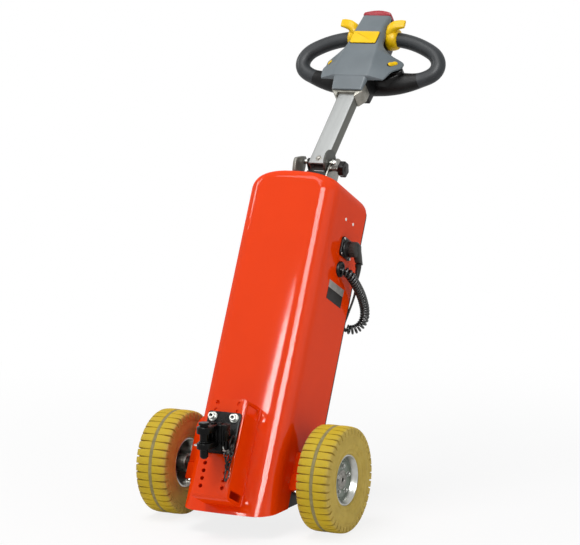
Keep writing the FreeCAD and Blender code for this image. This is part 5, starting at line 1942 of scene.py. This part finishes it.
    def paddle(self, side: Side) -> Form:
        """Butterfly paddle: rounded barrel and a thumb tab that curls up and outwards."""
        barrel = [(-18.6, 9.5), (-18.6, 24), (-17.4, 27.6), (-13.6, 30.2), (-4, 30.6), (2, 29.6), (7, 28.0),
                  (10.4, 25.6), (12.2, 23), (12.6, 20), (12.6, 9.5)]
        form = Form().turned(at(58, -4, 446), ACROSS, barrel, sides=56)
        rows = rows_through(((54, 6, 444, 25, 29), (54, 16, 447, 22.5, 29.4), (55, 23, 450, 19, 28),
                             (58.6, 28, 454, 16.4, 24), (64, 31.6, 458, 14.6, 19.4),
                             (72, 33.6, 461, 13.2, 15.4), (82, 34.2, 463.4, 12.2, 12),
                             (92, 33.4, 465, 10.6, 9.4)), 3)
        rings = []
        for index, (x, out, up, tall, deep) in enumerate(rows):
            later, earlier = rows[min(index + 1, len(rows) - 1)], rows[max(index - 1, 0)]
            ahead = Vector((later[0] - earlier[0], earlier[1] - later[1], 0)).normalized()
            lean = Vector((0, -0.25, 0.97))
            normal = ahead.cross(lean).normalized()
            flat = rounded_ring(rectangle(tall, -deep / 2, deep / 2), [deep * 0.45] * 4, 4)
            rings.append([at(x, out, up) + lean * a + normal * b for a, b in flat])
        tab = Form().loft(rings)
        tips = [e for e in tab.bm.edges if any(len(f.verts) > 8 for f in e.link_faces)]
        return form.add(tab.bevel(tips, 1.4, 3)).on(side)

    def plate_with_corners(self, half: float, low: float, high: float, radius: float, out: float,
                           thick: float, edge: float) -> Form:
        """Flat plate with round corners and softened upper edges.

        Args:
            half: half its width.
            low: its lower end along the tiller.
            high: its upper end.
            radius: corner radius.
            out: level of its underside.
            thick: thickness.
            edge: rounding of the upper edges.

        Returns:
            The plate.
        """
        corners = rounded_ring(rectangle(half, low, high), [radius] * 4, 6)
        form = Form().prism(facing(corners, out), at(0, thick, 0))
        rim = [e for e in form.bm.edges if all(abs(-v.co.y - out - thick) < 0.01 for v in e.verts)]
        return form.bevel(rim, edge, 3)

    def horn(self) -> Form:
        """Wide horn button in the spine, dished a little and left blank."""
        form = self.plate_with_corners(37.0, 383.5, 425.5, 5.0, 41.0, 5.4, 1.4)
        top = [f for f in form.bm.faces if f.normal.y < -0.99 and f.calc_area() > 500]
        for thickness, depth in ((3.0, 0.0), (2.0, -0.5)):
            bmesh.ops.inset_region(form.bm, faces=top, thickness=thickness, depth=depth)
        return form

    def horn_gap(self) -> Form:
        """Dark seat round the horn button."""
        return self.plate_with_corners(38.0, 382.5, 426.5, 5.6, 40.0, 4.2, 0.3)

    def belly(self) -> Form:
        """Red belly button across the head's far end, bulged along its length and rounded all over."""
        outline = [(33, 496.3), (36, 500), (37.2, 505), (36.8, 510), (34, 514.6), (29, 517.2), (22, 518),
                   (12, 518), (0, 517.9), (-10, 516.8), (-18, 513.4), (-23, 509), (-26, 502), (-26.4, 496.3)]
        rings = []
        for x, shrink in ((-40, 4.2), (-39.4, 2.4), (-38, 0.9), (-35.6, 0), (-26, 0), (-13, 0), (0, 0),
                          (13, 0), (26, 0), (35.6, 0), (38, 0.9), (39.4, 2.4), (40, 4.2)):
            share = (math.sqrt(72.0 ** 2 - x * x) - 50 - shrink) / 22
            rings.append([at(x, 6 + (out - 6) * (1 - shrink / 30), 496 + (up - 496) * share)
                          for out, up in outline])
        return Form().loft(rings)

    def rocker_matrix(self, sunk: float) -> Matrix:
        """Place of the right rocker on the wing's steep rear face.

        Args:
            sunk: depth below the rocker's own middle.

        Returns:
            The matrix, whose -Y axis points out of the wing.
        """
        along, outwards = Vector((0.293, 0.588, 0.754)), Vector((0.634, -0.709, 0.307))
        turn = Matrix((along, -outwards, outwards.cross(along))).transposed().to_4x4()
        return Matrix.Translation(at(88, 5.4, 343) - outwards * sunk) @ turn

    def rocker(self, side: Side) -> Form:
        """Speed rocker: two lobes with a waist."""
        rows = rows_through(((-18, 0.8, 1.6), (-17, 2.3, 4.2), (-13, 3.6, 6.3), (-8, 3.8, 6.7),
                             (-3, 3.1, 6.1), (0, 2.9, 5.9), (3, 3.1, 6.1), (8, 3.8, 6.7), (13, 3.6, 6.3),
                             (17, 2.3, 4.2), (18, 0.8, 1.6)), 2)
        rings = [[Vector((x, -deep * math.sin(a), tall * math.cos(a))) for a in angles(20)]
                 for x, deep, tall in rows]
        return Form().add(Form().loft(rings), self.rocker_matrix(-4.2)).on(side)

    def rocker_slot(self, side: Side) -> Form:
        """Dark oval slot round a speed rocker."""
        shape = Form()
        bmesh.ops.create_cone(shape.bm, cap_ends=True, segments=40, radius1=1.0, radius2=0.94, depth=1.0)
        bmesh.ops.scale(shape.bm, vec=(22, 8.6, 3.0), verts=shape.bm.verts)
        bmesh.ops.rotate(shape.bm, cent=(0, 0, 0), matrix=Matrix.Rotation(math.radians(90), 3, "X"),
                         verts=shape.bm.verts)
        return Form().add(shape, self.rocker_matrix(-2.0)).on(side)

    def tube_bolt(self) -> Form:
        """Small bolt head on the tube's face over the hinge."""
        rows = ((12.2, 13.4, 8.4, 32, 0.4), (13.4, 17.0, 5.8, 6, 0.6))
        return Form().stack(at(0, 0, 2.3), at(0, 1, 0), rows)

    def build(self) -> None:
        """Make the tiller's pieces."""
        self.piece("tube_brushed", self.tube(), ALUMINIUM, "aluminium", "tiller_tube")
        self.piece("tube_bolt", self.tube_bolt(), TURNED_STEEL, "steel")
        self.piece("head_shoe_cast", self.shoe(), CAST_ALUMINIUM, "aluminium", "tiller_shoe")
        self.piece("cover_moulded", self.cover(), GREY_SHELL, "grey_plastic", "head_cover", sharp_above=24.0)
        self.piece("housing_moulded", self.housing(), HOUSING_PLASTIC, "black_plastic", "head_housing")
        for side in Side:
            word = side.word
            self.piece(f"loop_grip_{word}", self.handle(side, False), GRIP_PLASTIC, "dark_plastic",
                       f"handle_{word}", place=Place.LOOP)
            self.piece(f"loop_arm_{word}", self.handle(side, True), HOUSING_PLASTIC, "black_plastic",
                       place=Place.LOOP)
            self.piece(f"thumb_paddle_{word}", self.paddle(side), YELLOW_PLASTIC, "yellow_plastic",
                       f"paddle_{word}")
            self.piece(f"rocker_slot_{word}", self.rocker_slot(side), HOUSING_PLASTIC, "black_plastic")
        rockers = self.rocker(Side.RIGHT).add(self.rocker(Side.LEFT))
        self.piece("rocker_pair", rockers, YELLOW_PLASTIC, "yellow_plastic", "speed_rockers")
        self.piece("horn_plate", self.horn(), YELLOW_PLASTIC, "yellow_plastic", "horn_button")
        self.piece("horn_seat", self.horn_gap(), HOUSING_PLASTIC, "black_plastic")
        self.piece("belly_bar", self.belly(), RED_PLASTIC, "red_plastic", "belly_button")


# ---- plain nodes ---------------------------------------------------------------------------
# Thin sprayed enamel on the tubes, with rust showing through in brown patches.
TUBE_PAINT = Finish("dark axle tube enamel", "#2B211C", "#1C1613", mottle_size=12, roughness=0.4,
                    grain_size=1.0, grain_height=0.05, grime="#4A2A1A", grime_share=0.5)


def dress_plain_nodes() -> None:
    """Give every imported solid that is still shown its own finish."""
    finishes = {
        "base_tray": BLACK_PAINT, "battery_pack": BLACK_PLASTIC, "drive_unit": CAST_ALUMINIUM,
        "axle_tube_left": TUBE_PAINT, "axle_tube_right": TUBE_PAINT, "tiller_disc": DISC_STEEL,
    }
    for name, finish in finishes.items():
        shown = bpy.data.objects[name]
        shown.data.materials.clear()
        shown.data.materials.append(finish.material())
        LOG.info("%s: dressed in %s", name, finish.name)



def main() -> None:
    """Build the tug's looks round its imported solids, sub-assembly by sub-assembly."""
    logging.basicConfig(level=logging.INFO, format="%(name)s: %(message)s")
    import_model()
    Studio().build()
    cord_maker = ChargingCord()
    cord = cord_maker.build(CABLE)
    for side in Side:
        DriveWheel(side).build()
    Body().build()
    plug = ChargingPoint().build()
    cord_maker.declare(cord)
    Hitch().build()
    Castor().build()
    TillerJoint().build()
    ControlHead().build()
    dress_plain_nodes()


if __name__ == "__main__":
    main()
